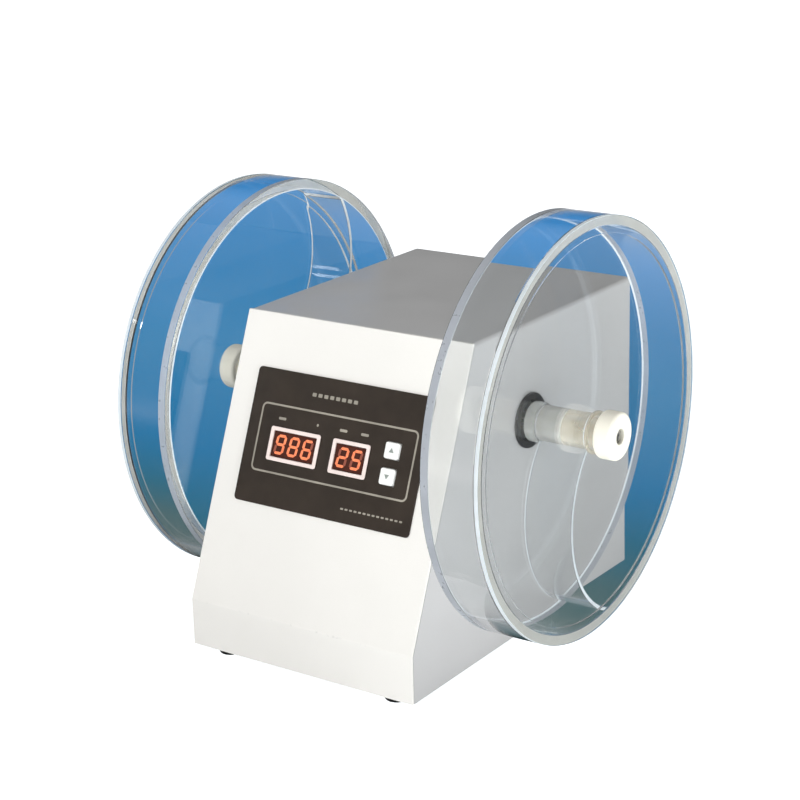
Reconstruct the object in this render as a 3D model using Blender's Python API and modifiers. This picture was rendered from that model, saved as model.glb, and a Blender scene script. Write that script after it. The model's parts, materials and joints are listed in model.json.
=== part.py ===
"""Two-drum tablet friability tester, piece by piece.

A sheet-metal case with a leaning front stands on four rubber feet. A steel shaft crosses it and
carries a clear drum on each side, in which tablets tumble over a curved arm. A geared motor inside
turns the shaft, and a slotted disc counts the turns.

Lengths are in metres. +Z is up, the front faces -Y and the shaft lies along X. The origin is on the
resting surface, under the middle of the case.
"""

import math

import bmesh
import bpy

# Clearances
seat_gap = 0.0003
cut_overrun = 0.003
weld_distance = 0.000005

# Case
case_width = 0.192
case_depth = 0.294
case_height = 0.232
lip_height = 0.035
front_lean = math.radians(22.5)
sheet = 0.0015
bend_radius = 0.003
tray_flange = 0.014

# Feet
foot_height = 0.006
foot_radius = 0.009
foot_draft = 0.001
foot_inset = 0.014
foot_side_inset = 0.023
foot_stem_radius = 0.0028
foot_barb = 0.0008
foot_stem_height = 0.005

# Shaft and its rings in the case sides
shaft_height = 0.161
shaft_radius = 0.006
thread_radius = 0.004
ring_radius = 0.020
ring_bore = 0.0155
ring_wall = 0.0015
ring_flange = 0.002
ring_depth = 0.006

# Drums
drum_inside_radius = 0.1435
drum_wall = 0.007
drum_inside_depth = 0.038
disc_thickness = 0.003
drum_standoff = 0.012
ledge_width = 0.0053
ledge_depth = 0.002
arm_thickness = 0.003
arm_radius_share = 0.561
arm_axis_offset = 0.003
left_arm_turn = math.radians(91.7)
right_arm_turn = math.radians(-50.8)

# Hubs, sleeves and knobs
hub_radius = 0.013
hub_boss_radius = 0.0145
hub_boss_length = 0.0077
hub_reach = 0.0187
sleeve_radius = 0.013
sleeve_flange_radius = 0.0155
sleeve_flange = 0.0017
sleeve_neck = 0.005
knob_radius = 0.0171
knob_length = 0.0132
knob_round = 0.0025
knob_recess_radius = 0.0055
knob_recess_depth = 0.003
shaft_end_setback = 0.0018

# Keypad
fascia_width = 0.151
fascia_height = 0.097
fascia_thickness = 0.001
fascia_corner = 0.003
fascia_centre_share = 0.5895
display_drop = 0.0041
digit_pitch = 0.0117
digit_margin = 0.00405
bezel_height = 0.0243
bezel_band = 0.0028
bezel_lip = 0.0013
bezel_proud = 0.0012
bezel_body_depth = 0.004
count_display_x_share = -0.2126
time_display_x_share = 0.1083
display_face_drop = 0.0006
button_size = 0.0115
button_x_share = 0.3325
button_spacing = 0.018
button_drop = 0.0017
button_proud = 0.0022
button_travel = 0.0012
button_flange_lip = 0.0014
button_flange = 0.001
button_stem = 0.004
board_width_share = 0.878
board_height_share = 0.833
board_thickness = 0.0016
board_depth = 0.012
stud_radius = 0.0025
stud_inset = 0.005
switch_size = 0.011
switch_height = 0.005

# Rear panel
inlet_x = 0.048
inlet_height = 0.048
inlet_width = 0.028
inlet_body_height = 0.034
inlet_lip = 0.002
inlet_flange = 0.0015
inlet_depth = 0.020
socket_width = 0.024
socket_height = 0.0165
socket_depth = 0.016
socket_rise = 0.0055
socket_pin_width = 0.002
socket_pin_height = 0.004
socket_pin_length = 0.0095
socket_pin_spacing = 0.007
socket_earth_rise = 0.004
drawer_width = 0.022
drawer_height = 0.0064
drawer_depth = 0.014
drawer_drop = 0.0105
drawer_face = 0.0012
drawer_face_lip = 0.001
rocker_x = 0.008
rocker_width = 0.010
rocker_half_height = 0.0082
rocker_top = 0.004
rocker_dip = 0.0012
rocker_tilt = math.radians(8)
rocker_wall = 0.0012
rocker_flange_lip = 0.0015
rocker_flange = 0.0018
rear_screw_x_share = 0.38
rear_screw_height = 0.0075
rear_screw_radius = 0.0015
rear_screw_head_radius = 0.003
rear_screw_head = 0.002
rear_screw_length = 0.007
vent_count = 8
vent_width = 0.003
vent_height = 0.030
vent_pitch = 0.008
vent_centre_share = 0.70

# Bearings and their brackets
bearing_inset = 0.026
bearing_radius = 0.014
bearing_width = 0.008
bearing_chamfer = 0.0006
bracket_margin = 0.012
bracket_half_base = 0.048
bracket_foot = 0.014
bracket_foot_thickness = 0.004
collar_radius = 0.011
collar_width = 0.007

# Gears and motor
gear_module = 0.002
gear_teeth = 48
pinion_teeth = 24
pressure_angle = math.radians(20)
gear_backlash = 0.0005
addendum_share = 0.95
dedendum_share = 1.25
gear_width = 0.010
gear_hub_radius = 0.012
gear_hub_length = 0.003
motor_shaft_radius = 0.004
motor_shaft_seat = 0.010
motor_shaft_overhang = 0.002
motor_plate = 0.003
motor_plate_half_width = 0.036
motor_plate_margin = 0.004
motor_plate_standoff = 0.006
motor_plate_bore = 0.008
gearbox_size = 0.060
gearbox_length = 0.030
motor_radius = 0.027
motor_length_share = 0.772
motor_cap_radius = 0.016
motor_cap_length = 0.003

# Turn counter
slotted_disc_radius = 0.030
slotted_disc_thickness = 0.001
slotted_disc_standoff = 0.0085
slot_count = 12
slot_width = 0.004
slot_depth = 0.005
slot_edge = 0.002
sensor_width = 0.014
sensor_height = 0.020
sensor_overlap = 0.008
sensor_floor_clearance = 0.002
sensor_groove = 0.003
sensor_arm = 0.0055

# Supply
transformer_x_share = -0.24
supply_y_share = 0.29
transformer_plate_size = (0.066, 0.046)
transformer_plate = 0.002
transformer_core_size = (0.054, 0.044)
transformer_core = 0.040
transformer_coil_size = (0.040, 0.030)
transformer_coil = 0.006
power_board_x_share = 0.22
power_board_size = (0.066, 0.052)
power_board_rise = 0.008
power_board_leg = 0.003
power_board_leg_inset = 0.004
capacitor_radius = 0.008
capacitor_height = 0.020
capacitor_x_share = 0.28
heat_sink_size = (0.020, 0.010)
heat_sink_height = 0.022
heat_sink_x_share = -0.25

# Roundness
drum_segments = 48
turned_segments = 28
small_segments = 16
arm_segments = 18
corner_segments = 3
bend_segments = 3

# Places that follow from the sizes above
base_height = foot_height
case_top = base_height + case_height
axis_height = base_height + shaft_height
floor_height = base_height + sheet + seat_gap
slope_length = (case_height - lip_height) / math.cos(front_lean)
drum_radius = drum_inside_radius + drum_wall
drum_back = case_width / 2 + drum_standoff
chamber_start = drum_back + disc_thickness
chamber_end = chamber_start + drum_inside_depth
drum_front = chamber_end + disc_thickness
ledge_outer = drum_inside_radius - seat_gap
ledge_inner = ledge_outer - ledge_width
hub_bore = shaft_radius + seat_gap
hub_end = chamber_start + hub_reach
sleeve_bore = shaft_radius + seat_gap
sleeve_start = hub_end + seat_gap
sleeve_flange_end = drum_front + seat_gap + sleeve_flange
sleeve_end = sleeve_flange_end + sleeve_neck
knob_start = sleeve_end + seat_gap
knob_end = knob_start + knob_length
shaft_shoulder = drum_front
shaft_end = knob_end - shaft_end_setback
bearing_centre = case_width / 2 - bearing_inset
bracket_inner = bearing_centre - bearing_width / 2
bracket_outer = bearing_centre + bearing_width / 2
collar_start = bracket_inner - seat_gap - collar_width
gear_centre = collar_start - seat_gap - gear_hub_length - gear_width / 2
gear_radius = gear_module * gear_teeth / 2
pinion_radius = gear_module * pinion_teeth / 2
motor_height = axis_height - gear_radius - pinion_radius
gearbox_front = gear_centre - gear_width / 2 - motor_plate_standoff - motor_plate - seat_gap
motor_front = gearbox_front - gearbox_length - seat_gap
motor_length = (motor_front + bracket_inner) * motor_length_share
count_display_x = fascia_width * count_display_x_share
time_display_x = fascia_width * time_display_x_share
button_x = fascia_width * button_x_share
board_width = fascia_width * board_width_share
board_height = fascia_height * board_height_share

# Directions
face_right = (0, math.pi / 2, 0)
face_left = (0, -math.pi / 2, 0)
side_on = (math.pi / 2, 0, math.pi / 2)
SIDES = {"right": 1, "left": -1}


def clear_scene():
    """Removes what the file opens with."""
    for old in list(bpy.data.objects):
        bpy.data.objects.remove(old, do_unlink=True)


def new_collection(name):
    """A collection linked to the scene."""
    made = bpy.data.collections.new(name)
    bpy.context.scene.collection.children.link(made)
    return made


def finish(name, colour, roughness, metallic=0.0, alpha=1.0):
    """A plain material with the piece's colour, roughness and metallic value."""
    material = bpy.data.materials.new(name)
    material.use_nodes = True
    shader = material.node_tree.nodes["Principled BSDF"]
    shader.inputs["Base Color"].default_value = (*colour, 1.0)
    shader.inputs["Roughness"].default_value = roughness
    shader.inputs["Metallic"].default_value = metallic
    shader.inputs["Alpha"].default_value = alpha
    return material


clear_scene()
parts = new_collection("tablet_friability_tester")
cutters = new_collection("cutters")

white_paint = finish("white_paint", (0.87, 0.86, 0.83), 0.35)
grey_paint = finish("grey_paint", (0.42, 0.43, 0.43), 0.40)
zinc_sheet = finish("zinc_sheet", (0.55, 0.56, 0.57), 0.45, metallic=0.9)
clear_acrylic = finish("clear_acrylic", (0.35, 0.62, 0.80), 0.05, alpha=0.35)
ivory_nylon = finish("ivory_nylon", (0.88, 0.85, 0.74), 0.40)
steel = finish("steel", (0.62, 0.62, 0.62), 0.25, metallic=1.0)
aluminium = finish("aluminium", (0.72, 0.72, 0.73), 0.40, metallic=1.0)
brass = finish("brass", (0.78, 0.58, 0.25), 0.30, metallic=1.0)
black_rubber = finish("black_rubber", (0.02, 0.02, 0.02), 0.80)
black_plastic = finish("black_plastic", (0.03, 0.03, 0.03), 0.45)
fascia_film = finish("fascia_film", (0.048, 0.036, 0.028), 0.45)
cream_plastic = finish("cream_plastic", (0.84, 0.72, 0.66), 0.45)
lit_digits = finish("lit_digits", (0.80, 0.16, 0.05), 0.30)
white_plastic = finish("white_plastic", (0.84, 0.84, 0.82), 0.40)
board_green = finish("board_green", (0.02, 0.18, 0.07), 0.45)
dark_steel = finish("dark_steel", (0.12, 0.12, 0.13), 0.45, metallic=0.8)


def add_mesh(name, mesh, material=None, parent=None, at=(0, 0, 0), turned=(0, 0, 0)):
    """An object from a mesh: a piece where it has a material, and otherwise a cutter."""
    piece = bpy.data.objects.new(name, mesh)
    if material is None:
        cutters.objects.link(piece)
        piece.hide_render = True
        piece.display_type = "WIRE"
    else:
        parts.objects.link(piece)
        mesh.materials.append(material)
    piece.parent = parent
    piece.location = at
    piece.rotation_euler = turned
    return piece


def add_empty(name, parent=None, at=(0, 0, 0), turned=(0, 0, 0)):
    """A frame that pieces are placed in."""
    frame = bpy.data.objects.new(name, None)
    parts.objects.link(frame)
    frame.parent = parent
    frame.location = at
    frame.rotation_euler = turned
    return frame


def tidy_mesh(name, form):
    """Welds a bmesh, points its faces outwards and stores it as a mesh."""
    bmesh.ops.remove_doubles(form, verts=form.verts, dist=weld_distance)
    bmesh.ops.recalc_face_normals(form, faces=form.faces)
    mesh = bpy.data.meshes.new(name)
    form.to_mesh(mesh)
    form.free()
    return mesh


def block_mesh(name, low, high):
    """A box between two corners."""
    form = bmesh.new()
    bmesh.ops.create_cube(form, size=1.0)
    size = [b - a for a, b in zip(low, high)]
    middle = [(a + b) / 2 for a, b in zip(low, high)]
    bmesh.ops.scale(form, vec=size, verts=form.verts)
    bmesh.ops.translate(form, vec=middle, verts=form.verts)
    return tidy_mesh(name, form)


def centred_block(name, width, height, low, high, middle=(0, 0)):
    """A box of a width and height round a middle, from a low to a high level."""
    x, y = middle
    return block_mesh(
        name,
        (x - width / 2, y - height / 2, low),
        (x + width / 2, y + height / 2, high),
    )


def rod_mesh(name, radius, low, high, segments):
    """A cylinder along Z between two levels."""
    form = bmesh.new()
    bmesh.ops.create_cone(
        form,
        cap_ends=True,
        segments=segments,
        radius1=radius,
        radius2=radius,
        depth=high - low,
    )
    bmesh.ops.translate(form, vec=(0, 0, (low + high) / 2), verts=form.verts)
    return tidy_mesh(name, form)


def stepped_mesh(name, steps, bottom):
    """A stack of rectangular steps. Each step is (width, height, top level)."""
    form = bmesh.new()
    bmesh.ops.create_cube(form, size=1.0)
    width, height, top = steps[0]
    bmesh.ops.scale(form, vec=(width, height, top - bottom), verts=form.verts)
    bmesh.ops.translate(form, vec=(0, 0, (top + bottom) / 2), verts=form.verts)
    for next_width, next_height, next_top in steps[1:]:
        form.faces.ensure_lookup_table()
        lid = max(form.faces, key=lambda face: face.calc_center_median().z)
        ring = bmesh.ops.extrude_face_region(form, geom=[lid])["geom"]
        corners = [item for item in ring if isinstance(item, bmesh.types.BMVert)]
        form.faces.remove(lid)
        scale = (next_width / width, next_height / height, 1.0)
        bmesh.ops.scale(form, vec=scale, verts=corners)
        lid = next(item for item in ring if isinstance(item, bmesh.types.BMFace))
        ring = bmesh.ops.extrude_face_region(form, geom=[lid])["geom"]
        corners = [item for item in ring if isinstance(item, bmesh.types.BMVert)]
        form.faces.remove(lid)
        bmesh.ops.translate(form, vec=(0, 0, next_top - top), verts=corners)
        width, height, top = next_width, next_height, next_top
    return tidy_mesh(name, form)


def outline_mesh(name, outlines, thickness):
    """A flat outline with any holes, given its thickness half to each side."""
    curve = bpy.data.curves.new(name, "CURVE")
    curve.dimensions = "2D"
    curve.fill_mode = "BOTH"
    curve.extrude = thickness / 2
    for outline in outlines:
        spline = curve.splines.new("POLY")
        spline.points.add(len(outline) - 1)
        for spot, (x, y) in zip(spline.points, outline):
            spot.co = (x, y, 0, 1)
        spline.use_cyclic_u = True
    drawn = bpy.data.objects.new(name, curve)
    cutters.objects.link(drawn)
    graph = bpy.context.evaluated_depsgraph_get()
    flat = bpy.data.meshes.new_from_object(drawn.evaluated_get(graph))
    form = bmesh.new()
    form.from_mesh(flat)
    bpy.data.objects.remove(drawn)
    bpy.data.curves.remove(curve)
    bpy.data.meshes.remove(flat)
    return tidy_mesh(name, form)


def turned_piece(name, profile, segments, material=None, **place):
    """A profile turned round Z. It runs (radius, level) down the outer side and, where the
    piece has a bore, back up the inner side."""
    spots = [(radius, 0, level) for radius, level in profile]
    edges = [(i, i + 1) for i in range(len(spots) - 1)]
    if profile[0][0] > 0:
        edges.append((len(spots) - 1, 0))
    mesh = bpy.data.meshes.new(name)
    mesh.from_pydata(spots, edges, [])
    piece = add_mesh(name, mesh, material, **place)
    screw = piece.modifiers.new("turn", "SCREW")
    screw.axis = "Z"
    screw.angle = 2 * math.pi
    screw.steps = segments
    screw.render_steps = segments
    screw.use_merge_vertices = True
    screw.merge_threshold = weld_distance
    screw.use_smooth_shade = True
    return piece


def ring_profile(inner, outer, low, high):
    """The section of a plain ring."""
    return [(outer, high), (outer, low), (inner, low), (inner, high)]


def change(piece, cutter, operation):
    """Cuts a piece with another shape, joins the shape to it or keeps what they share."""
    boolean = piece.modifiers.new(cutter.name, "BOOLEAN")
    boolean.operation = operation
    boolean.solver = "EXACT"
    boolean.object = cutter


def rectangle(width, height, middle=(0, 0)):
    """Corners of a rectangle."""
    x, y = middle
    return [
        (x - width / 2, y - height / 2),
        (x + width / 2, y - height / 2),
        (x + width / 2, y + height / 2),
        (x - width / 2, y + height / 2),
    ]


def rounded_rectangle(width, height, corner, middle=(0, 0)):
    """A rectangle with quarter-circle corners."""
    points = []
    for quarter, (u, v) in enumerate(((1, 1), (-1, 1), (-1, -1), (1, -1))):
        x = middle[0] + u * (width / 2 - corner)
        y = middle[1] + v * (height / 2 - corner)
        for step in range(corner_segments + 1):
            angle = (quarter + step / corner_segments) * math.pi / 2
            points.append((x + corner * math.cos(angle), y + corner * math.sin(angle)))
    return points


def circle(radius, segments, middle=(0, 0)):
    """Points round a circle."""
    angles = [2 * math.pi * i / segments for i in range(segments)]
    return [(middle[0] + radius * math.cos(a), middle[1] + radius * math.sin(a)) for a in angles]


def front_line(inset, top):
    """The case's front from the bottom edge up to a level, set back square to the sheet."""
    face = -case_depth / 2 + inset
    fold = base_height + lip_height - inset * math.tan(front_lean / 2)
    return [
        (face, base_height),
        (face, fold),
        (face + (top - fold) * math.tan(front_lean), top),
    ]


def bend_edges(mesh, radius, level):
    """Rounds the long edges that lie at a level, as a sheet is bent."""
    form = bmesh.new()
    form.from_mesh(mesh)
    wide = max(abs(vert.co.z) for vert in form.verts)
    chosen = []
    for edge in form.edges:
        ends = edge.verts
        high = all(abs(vert.co.y - level) < weld_distance for vert in ends)
        outside = all(abs(abs(vert.co.z) - wide) < weld_distance for vert in ends)
        if high and outside and ends[0].co.z * ends[1].co.z > 0:
            chosen.append(edge)
    bmesh.ops.bevel(form, geom=chosen, offset=radius, segments=bend_segments, profile=0.5)
    form.to_mesh(mesh)
    form.free()


def display_width(digits):
    """Outside width of a bezel round a number of digits."""
    return digits * digit_pitch + 2 * digit_margin


slope = add_empty(
    "slope",
    at=(0, -case_depth / 2, base_height + lip_height),
    turned=(math.pi / 2 - front_lean, 0, 0),
)
keypad = add_empty("keypad", parent=slope, at=(0, slope_length * fascia_centre_share, 0))
rear = add_empty("rear", at=(0, case_depth / 2, base_height), turned=(math.pi / 2, 0, math.pi))
rotor = add_empty("rotor", at=(0, 0, axis_height))

bezel_middle_y = -display_drop
button_middle_y = -button_drop
displays = {
    "count": (count_display_x, display_width(3)),
    "time": (time_display_x, display_width(2)),
}
buttons = {
    "upper": button_middle_y + button_spacing / 2,
    "lower": button_middle_y - button_spacing / 2,
}
bezel_hole_trim = 2 * (bezel_lip - seat_gap)
button_hole = button_size + 2 * seat_gap


def make_front_panel():
    """The white front: an upright lip and a leaning face, with welded studs for the board."""
    outline = front_line(0, case_top) + front_line(sheet, case_top)[::-1]
    panel = add_mesh(
        "front_panel",
        outline_mesh("front_panel", [outline], case_width),
        white_paint,
        turned=side_on,
    )
    for name, (x, width) in displays.items():
        hole = centred_block(
            name + "_window",
            width - bezel_hole_trim,
            bezel_height - bezel_hole_trim,
            -sheet - cut_overrun,
            cut_overrun,
        )
        cutter = add_mesh(name + "_window", hole, parent=keypad, at=(x, bezel_middle_y, 0))
        change(panel, cutter, "DIFFERENCE")
    for name, y in buttons.items():
        hole = centred_block(
            name + "_button_hole", button_hole, button_hole, -sheet - cut_overrun, cut_overrun
        )
        cutter = add_mesh(name + "_button_hole", hole, parent=keypad, at=(button_x, y, 0))
        change(panel, cutter, "DIFFERENCE")
    for u in (-1, 1):
        for v in (-1, 1):
            name = "stud_" + ("right" if u > 0 else "left") + ("_top" if v > 0 else "_bottom")
            stud = rod_mesh(name, stud_radius, seat_gap - board_depth, -sheet / 2, small_segments)
            place = (u * (board_width / 2 - stud_inset), v * (board_height / 2 - stud_inset), 0)
            change(panel, add_mesh(name, stud, parent=keypad, at=place), "UNION")


def make_cover():
    """The grey cover: top and both sides in one bent sheet, with a hole for the shaft in each."""
    outline = front_line(sheet + seat_gap, case_top)
    outline += [(case_depth / 2, case_top), (case_depth / 2, base_height)]
    mesh = outline_mesh("cover", [outline], case_width)
    bend_edges(mesh, bend_radius, case_top)
    cover = add_mesh("cover", mesh, grey_paint, turned=side_on)
    reach = case_depth / 2 + cut_overrun
    inside = rectangle(2 * reach, case_height + cut_overrun)
    top = case_top - sheet
    inside = [(y, z + top - (case_height + cut_overrun) / 2) for y, z in inside]
    hollow = outline_mesh("cover_inside", [inside], case_width - 2 * sheet)
    bend_edges(hollow, bend_radius - sheet, top)
    change(cover, add_mesh("cover_inside", hollow, turned=side_on), "DIFFERENCE")
    reach = case_width / 2 + cut_overrun
    hole_radius = ring_bore + ring_wall + seat_gap
    hole = rod_mesh("shaft_hole", hole_radius, -reach, reach, turned_segments)
    change(cover, add_mesh("shaft_hole", hole, parent=rotor, turned=face_right), "DIFFERENCE")


def make_base_plate():
    """The tray that everything stands on, with a hole for each foot's stem."""
    half_width = case_width / 2 - sheet - seat_gap
    half_depth = case_depth / 2 - sheet - seat_gap
    form = bmesh.new()
    bmesh.ops.create_cube(form, size=1.0)
    bmesh.ops.scale(form, vec=(2 * half_width, 2 * half_depth, tray_flange), verts=form.verts)
    bmesh.ops.translate(form, vec=(0, 0, base_height + tray_flange / 2), verts=form.verts)
    lid = max(form.faces, key=lambda face: face.calc_center_median().z)
    bmesh.ops.delete(form, geom=[lid], context="FACES_ONLY")
    mesh = bpy.data.meshes.new("base_plate")
    form.to_mesh(mesh)
    form.free()
    tray = add_mesh("base_plate", mesh, zinc_sheet)
    wall = tray.modifiers.new("wall", "SOLIDIFY")
    wall.thickness = sheet
    wall.offset = -1.0
    wall.use_even_offset = True
    for name, place in foot_places().items():
        hole = rod_mesh(
            name + "_hole",
            foot_stem_radius + seat_gap,
            -cut_overrun,
            sheet + cut_overrun,
            small_segments,
        )
        cutter = add_mesh(name + "_hole", hole, at=(*place, base_height))
        change(tray, cutter, "DIFFERENCE")
    for side, sign in SIDES.items():
        name = side + "_tray_screw_hole"
        hole = rod_mesh(
            name,
            rear_screw_radius + seat_gap,
            -2 * sheet - seat_gap - cut_overrun,
            -sheet,
            small_segments,
        )
        place = (sign * case_width * rear_screw_x_share, rear_screw_height, 0)
        change(tray, add_mesh(name, hole, parent=rear, at=place), "DIFFERENCE")


def foot_places():
    """Where the four feet stand."""
    x = case_width / 2 - foot_side_inset
    y = case_depth / 2 - foot_inset
    return {
        "front_left_foot": (-x, -y),
        "front_right_foot": (x, -y),
        "rear_left_foot": (-x, y),
        "rear_right_foot": (x, y),
    }


def make_feet():
    """Push-in rubber feet, each with a stem and a barb above the tray."""
    top = base_height - seat_gap
    barb_low = base_height + sheet + seat_gap
    stem_top = base_height + foot_stem_height
    profile = [
        (0, stem_top),
        (foot_stem_radius, stem_top),
        (foot_stem_radius + foot_barb, barb_low),
        (foot_stem_radius, barb_low),
        (foot_stem_radius, top),
        (foot_radius, top),
        (foot_radius, foot_draft),
        (foot_radius - foot_draft, 0),
        (0, 0),
    ]
    for name, place in foot_places().items():
        turned_piece(name, profile, small_segments, black_rubber, at=(*place, 0))


def make_fascia():
    """The dark keypad plate, with windows for the bezels and holes for the buttons."""
    outlines = [rounded_rectangle(fascia_width, fascia_height, fascia_corner)]
    for x, width in displays.values():
        size = (width - bezel_hole_trim, bezel_height - bezel_hole_trim)
        outlines.append(rectangle(*size, (x, bezel_middle_y)))
    for y in buttons.values():
        outlines.append(rectangle(button_hole, button_hole, (button_x, y)))
    add_mesh(
        "fascia_plate",
        outline_mesh("fascia_plate", outlines, fascia_thickness),
        fascia_film,
        parent=keypad,
        at=(0, 0, seat_gap + fascia_thickness / 2),
    )


def make_displays():
    """Bezels that drop into the plate, and the lit modules that stand in them on the board."""
    lip_low = 2 * seat_gap + fascia_thickness
    lip_high = lip_low + bezel_proud
    for name, (x, width) in displays.items():
        body_width = width - 2 * bezel_lip
        body_height = bezel_height - 2 * bezel_lip
        bezel = add_mesh(
            name + "_bezel",
            stepped_mesh(
                name + "_bezel",
                [(body_width, body_height, lip_low), (width, bezel_height, lip_high)],
                -bezel_body_depth,
            ),
            cream_plastic,
            parent=keypad,
            at=(x, bezel_middle_y, 0),
        )
        window_width = width - 2 * bezel_band
        window_height = bezel_height - 2 * bezel_band
        opening = centred_block(
            name + "_opening",
            window_width,
            window_height,
            -bezel_body_depth - cut_overrun,
            lip_high + cut_overrun,
        )
        cutter = add_mesh(name + "_opening", opening, parent=keypad, at=(x, bezel_middle_y, 0))
        change(bezel, cutter, "DIFFERENCE")
        module = centred_block(
            name + "_display",
            window_width - 2 * seat_gap,
            window_height - 2 * seat_gap,
            seat_gap - board_depth,
            lip_high - display_face_drop,
        )
        add_mesh(name + "_display", module, lit_digits, parent=keypad, at=(x, bezel_middle_y, 0))


def make_buttons():
    """Square buttons held by a flange behind the panel, and the switches that they press."""
    face = seat_gap + fascia_thickness + button_proud
    flange_top = -sheet - seat_gap
    stem_end = -board_depth + 2 * seat_gap + button_travel
    flange_size = button_size + 2 * button_flange_lip
    steps = [
        (button_stem, button_stem, flange_top - button_flange),
        (flange_size, flange_size, flange_top),
        (button_size, button_size, face),
    ]
    for name, y in buttons.items():
        add_mesh(
            name + "_button",
            stepped_mesh(name + "_button", steps, stem_end),
            white_plastic,
            parent=keypad,
            at=(button_x, y, 0),
        )
        stem_hole = button_stem + 2 * seat_gap
        outlines = [rectangle(switch_size, switch_size), rectangle(stem_hole, stem_hole)]
        add_mesh(
            name + "_switch",
            outline_mesh(name + "_switch", outlines, switch_height),
            black_plastic,
            parent=keypad,
            at=(button_x, y, -board_depth + seat_gap + switch_height / 2),
        )


def make_control_board():
    """The board behind the panel, on the ends of the studs."""
    board = centred_block(
        "control_board", board_width, board_height, -board_depth - board_thickness, -board_depth
    )
    add_mesh("control_board", board, board_green, parent=keypad)


def make_rear_panel():
    """The rear sheet, with cut-outs for the inlet and switch, vents and two screws."""
    width = case_width - 2 * sheet - 2 * seat_gap
    height = case_height - sheet - seat_gap
    outlines = [rounded_rectangle(width, height, bend_radius, (0, height / 2))]
    hole = (inlet_width + 2 * seat_gap, inlet_body_height + 2 * seat_gap)
    outlines.append(rectangle(*hole, (-inlet_x, inlet_height)))
    body = rocker_body()
    hole = (body[0] + 2 * seat_gap, body[1] + 2 * seat_gap)
    outlines.append(rectangle(*hole, (-rocker_x, inlet_height)))
    for i in range(vent_count):
        x = (i - (vent_count - 1) / 2) * vent_pitch
        middle = (x, height * vent_centre_share)
        outlines.append(rectangle(vent_width, vent_height, middle))
    for sign in SIDES.values():
        middle = (sign * case_width * rear_screw_x_share, rear_screw_height)
        outlines.append(circle(rear_screw_radius + seat_gap, small_segments, middle))
    add_mesh(
        "rear_panel",
        outline_mesh("rear_panel", outlines, sheet),
        zinc_sheet,
        parent=rear,
        at=(0, 0, -sheet / 2),
    )


def make_rear_screws():
    """Two screws that hold the rear sheet to the tray."""
    profile = [
        (0, seat_gap + rear_screw_head),
        (rear_screw_head_radius, seat_gap + rear_screw_head),
        (rear_screw_head_radius, seat_gap),
        (rear_screw_radius, seat_gap),
        (rear_screw_radius, -rear_screw_length),
        (0, -rear_screw_length),
    ]
    for side, sign in SIDES.items():
        place = (-sign * case_width * rear_screw_x_share, rear_screw_height, 0)
        turned_piece(
            side + "_rear_screw", profile, small_segments, steel, parent=rear, at=place
        )


def rocker_swing():
    """Radius of the rocker's round back."""
    return math.hypot(rocker_half_height, rocker_top)


def rocker_body():
    """Width, height and depth of the switch housing behind the rear sheet."""
    pocket = rocker_swing() + seat_gap
    return (
        rocker_width + 2 * seat_gap + 2 * rocker_wall,
        2 * (pocket + rocker_wall),
        pocket + rocker_wall,
    )


def make_inlet():
    """The mains inlet with three pins in its socket, and the fuse drawer under the socket."""
    inlet = add_mesh(
        "power_inlet",
        stepped_mesh(
            "power_inlet",
            [
                (inlet_width, inlet_body_height, seat_gap),
                (
                    inlet_width + 2 * inlet_lip,
                    inlet_body_height + 2 * inlet_lip,
                    seat_gap + inlet_flange,
                ),
            ],
            -inlet_depth,
        ),
        black_plastic,
        parent=rear,
        at=(-inlet_x, inlet_height, 0),
    )
    mouth = seat_gap + inlet_flange
    socket_floor = mouth - socket_depth
    socket = centred_block(
        "inlet_socket",
        socket_width,
        socket_height,
        socket_floor,
        mouth + cut_overrun,
        (0, socket_rise),
    )
    change(
        inlet,
        add_mesh("inlet_socket", socket, parent=rear, at=(-inlet_x, inlet_height, 0)),
        "DIFFERENCE",
    )
    pocket = centred_block(
        "drawer_pocket",
        drawer_width + 2 * seat_gap,
        drawer_height + 2 * seat_gap,
        mouth - drawer_depth - seat_gap,
        mouth + cut_overrun,
        (0, -drawer_drop),
    )
    change(
        inlet,
        add_mesh("drawer_pocket", pocket, parent=rear, at=(-inlet_x, inlet_height, 0)),
        "DIFFERENCE",
    )
    for name, column, rise in (
        ("live", -1, 0),
        ("earth", 0, socket_earth_rise),
        ("neutral", 1, 0),
    ):
        pin = centred_block(
            name + "_pin",
            socket_pin_width,
            socket_pin_height,
            socket_floor - socket_pin_width,
            socket_floor + socket_pin_length,
            (column * socket_pin_spacing, socket_rise + rise),
        )
        place = (-inlet_x, inlet_height, 0)
        change(inlet, add_mesh(name + "_pin", pin, parent=rear, at=place), "UNION")
    face_low = mouth + seat_gap
    lip = 2 * drawer_face_lip
    steps = [
        (drawer_width, drawer_height, face_low),
        (drawer_width + lip, drawer_height + lip, face_low + drawer_face),
    ]
    add_mesh(
        "fuse_drawer",
        stepped_mesh("fuse_drawer", steps, mouth - drawer_depth),
        black_plastic,
        parent=rear,
        at=(-inlet_x, inlet_height - drawer_drop, 0),
    )


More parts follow.
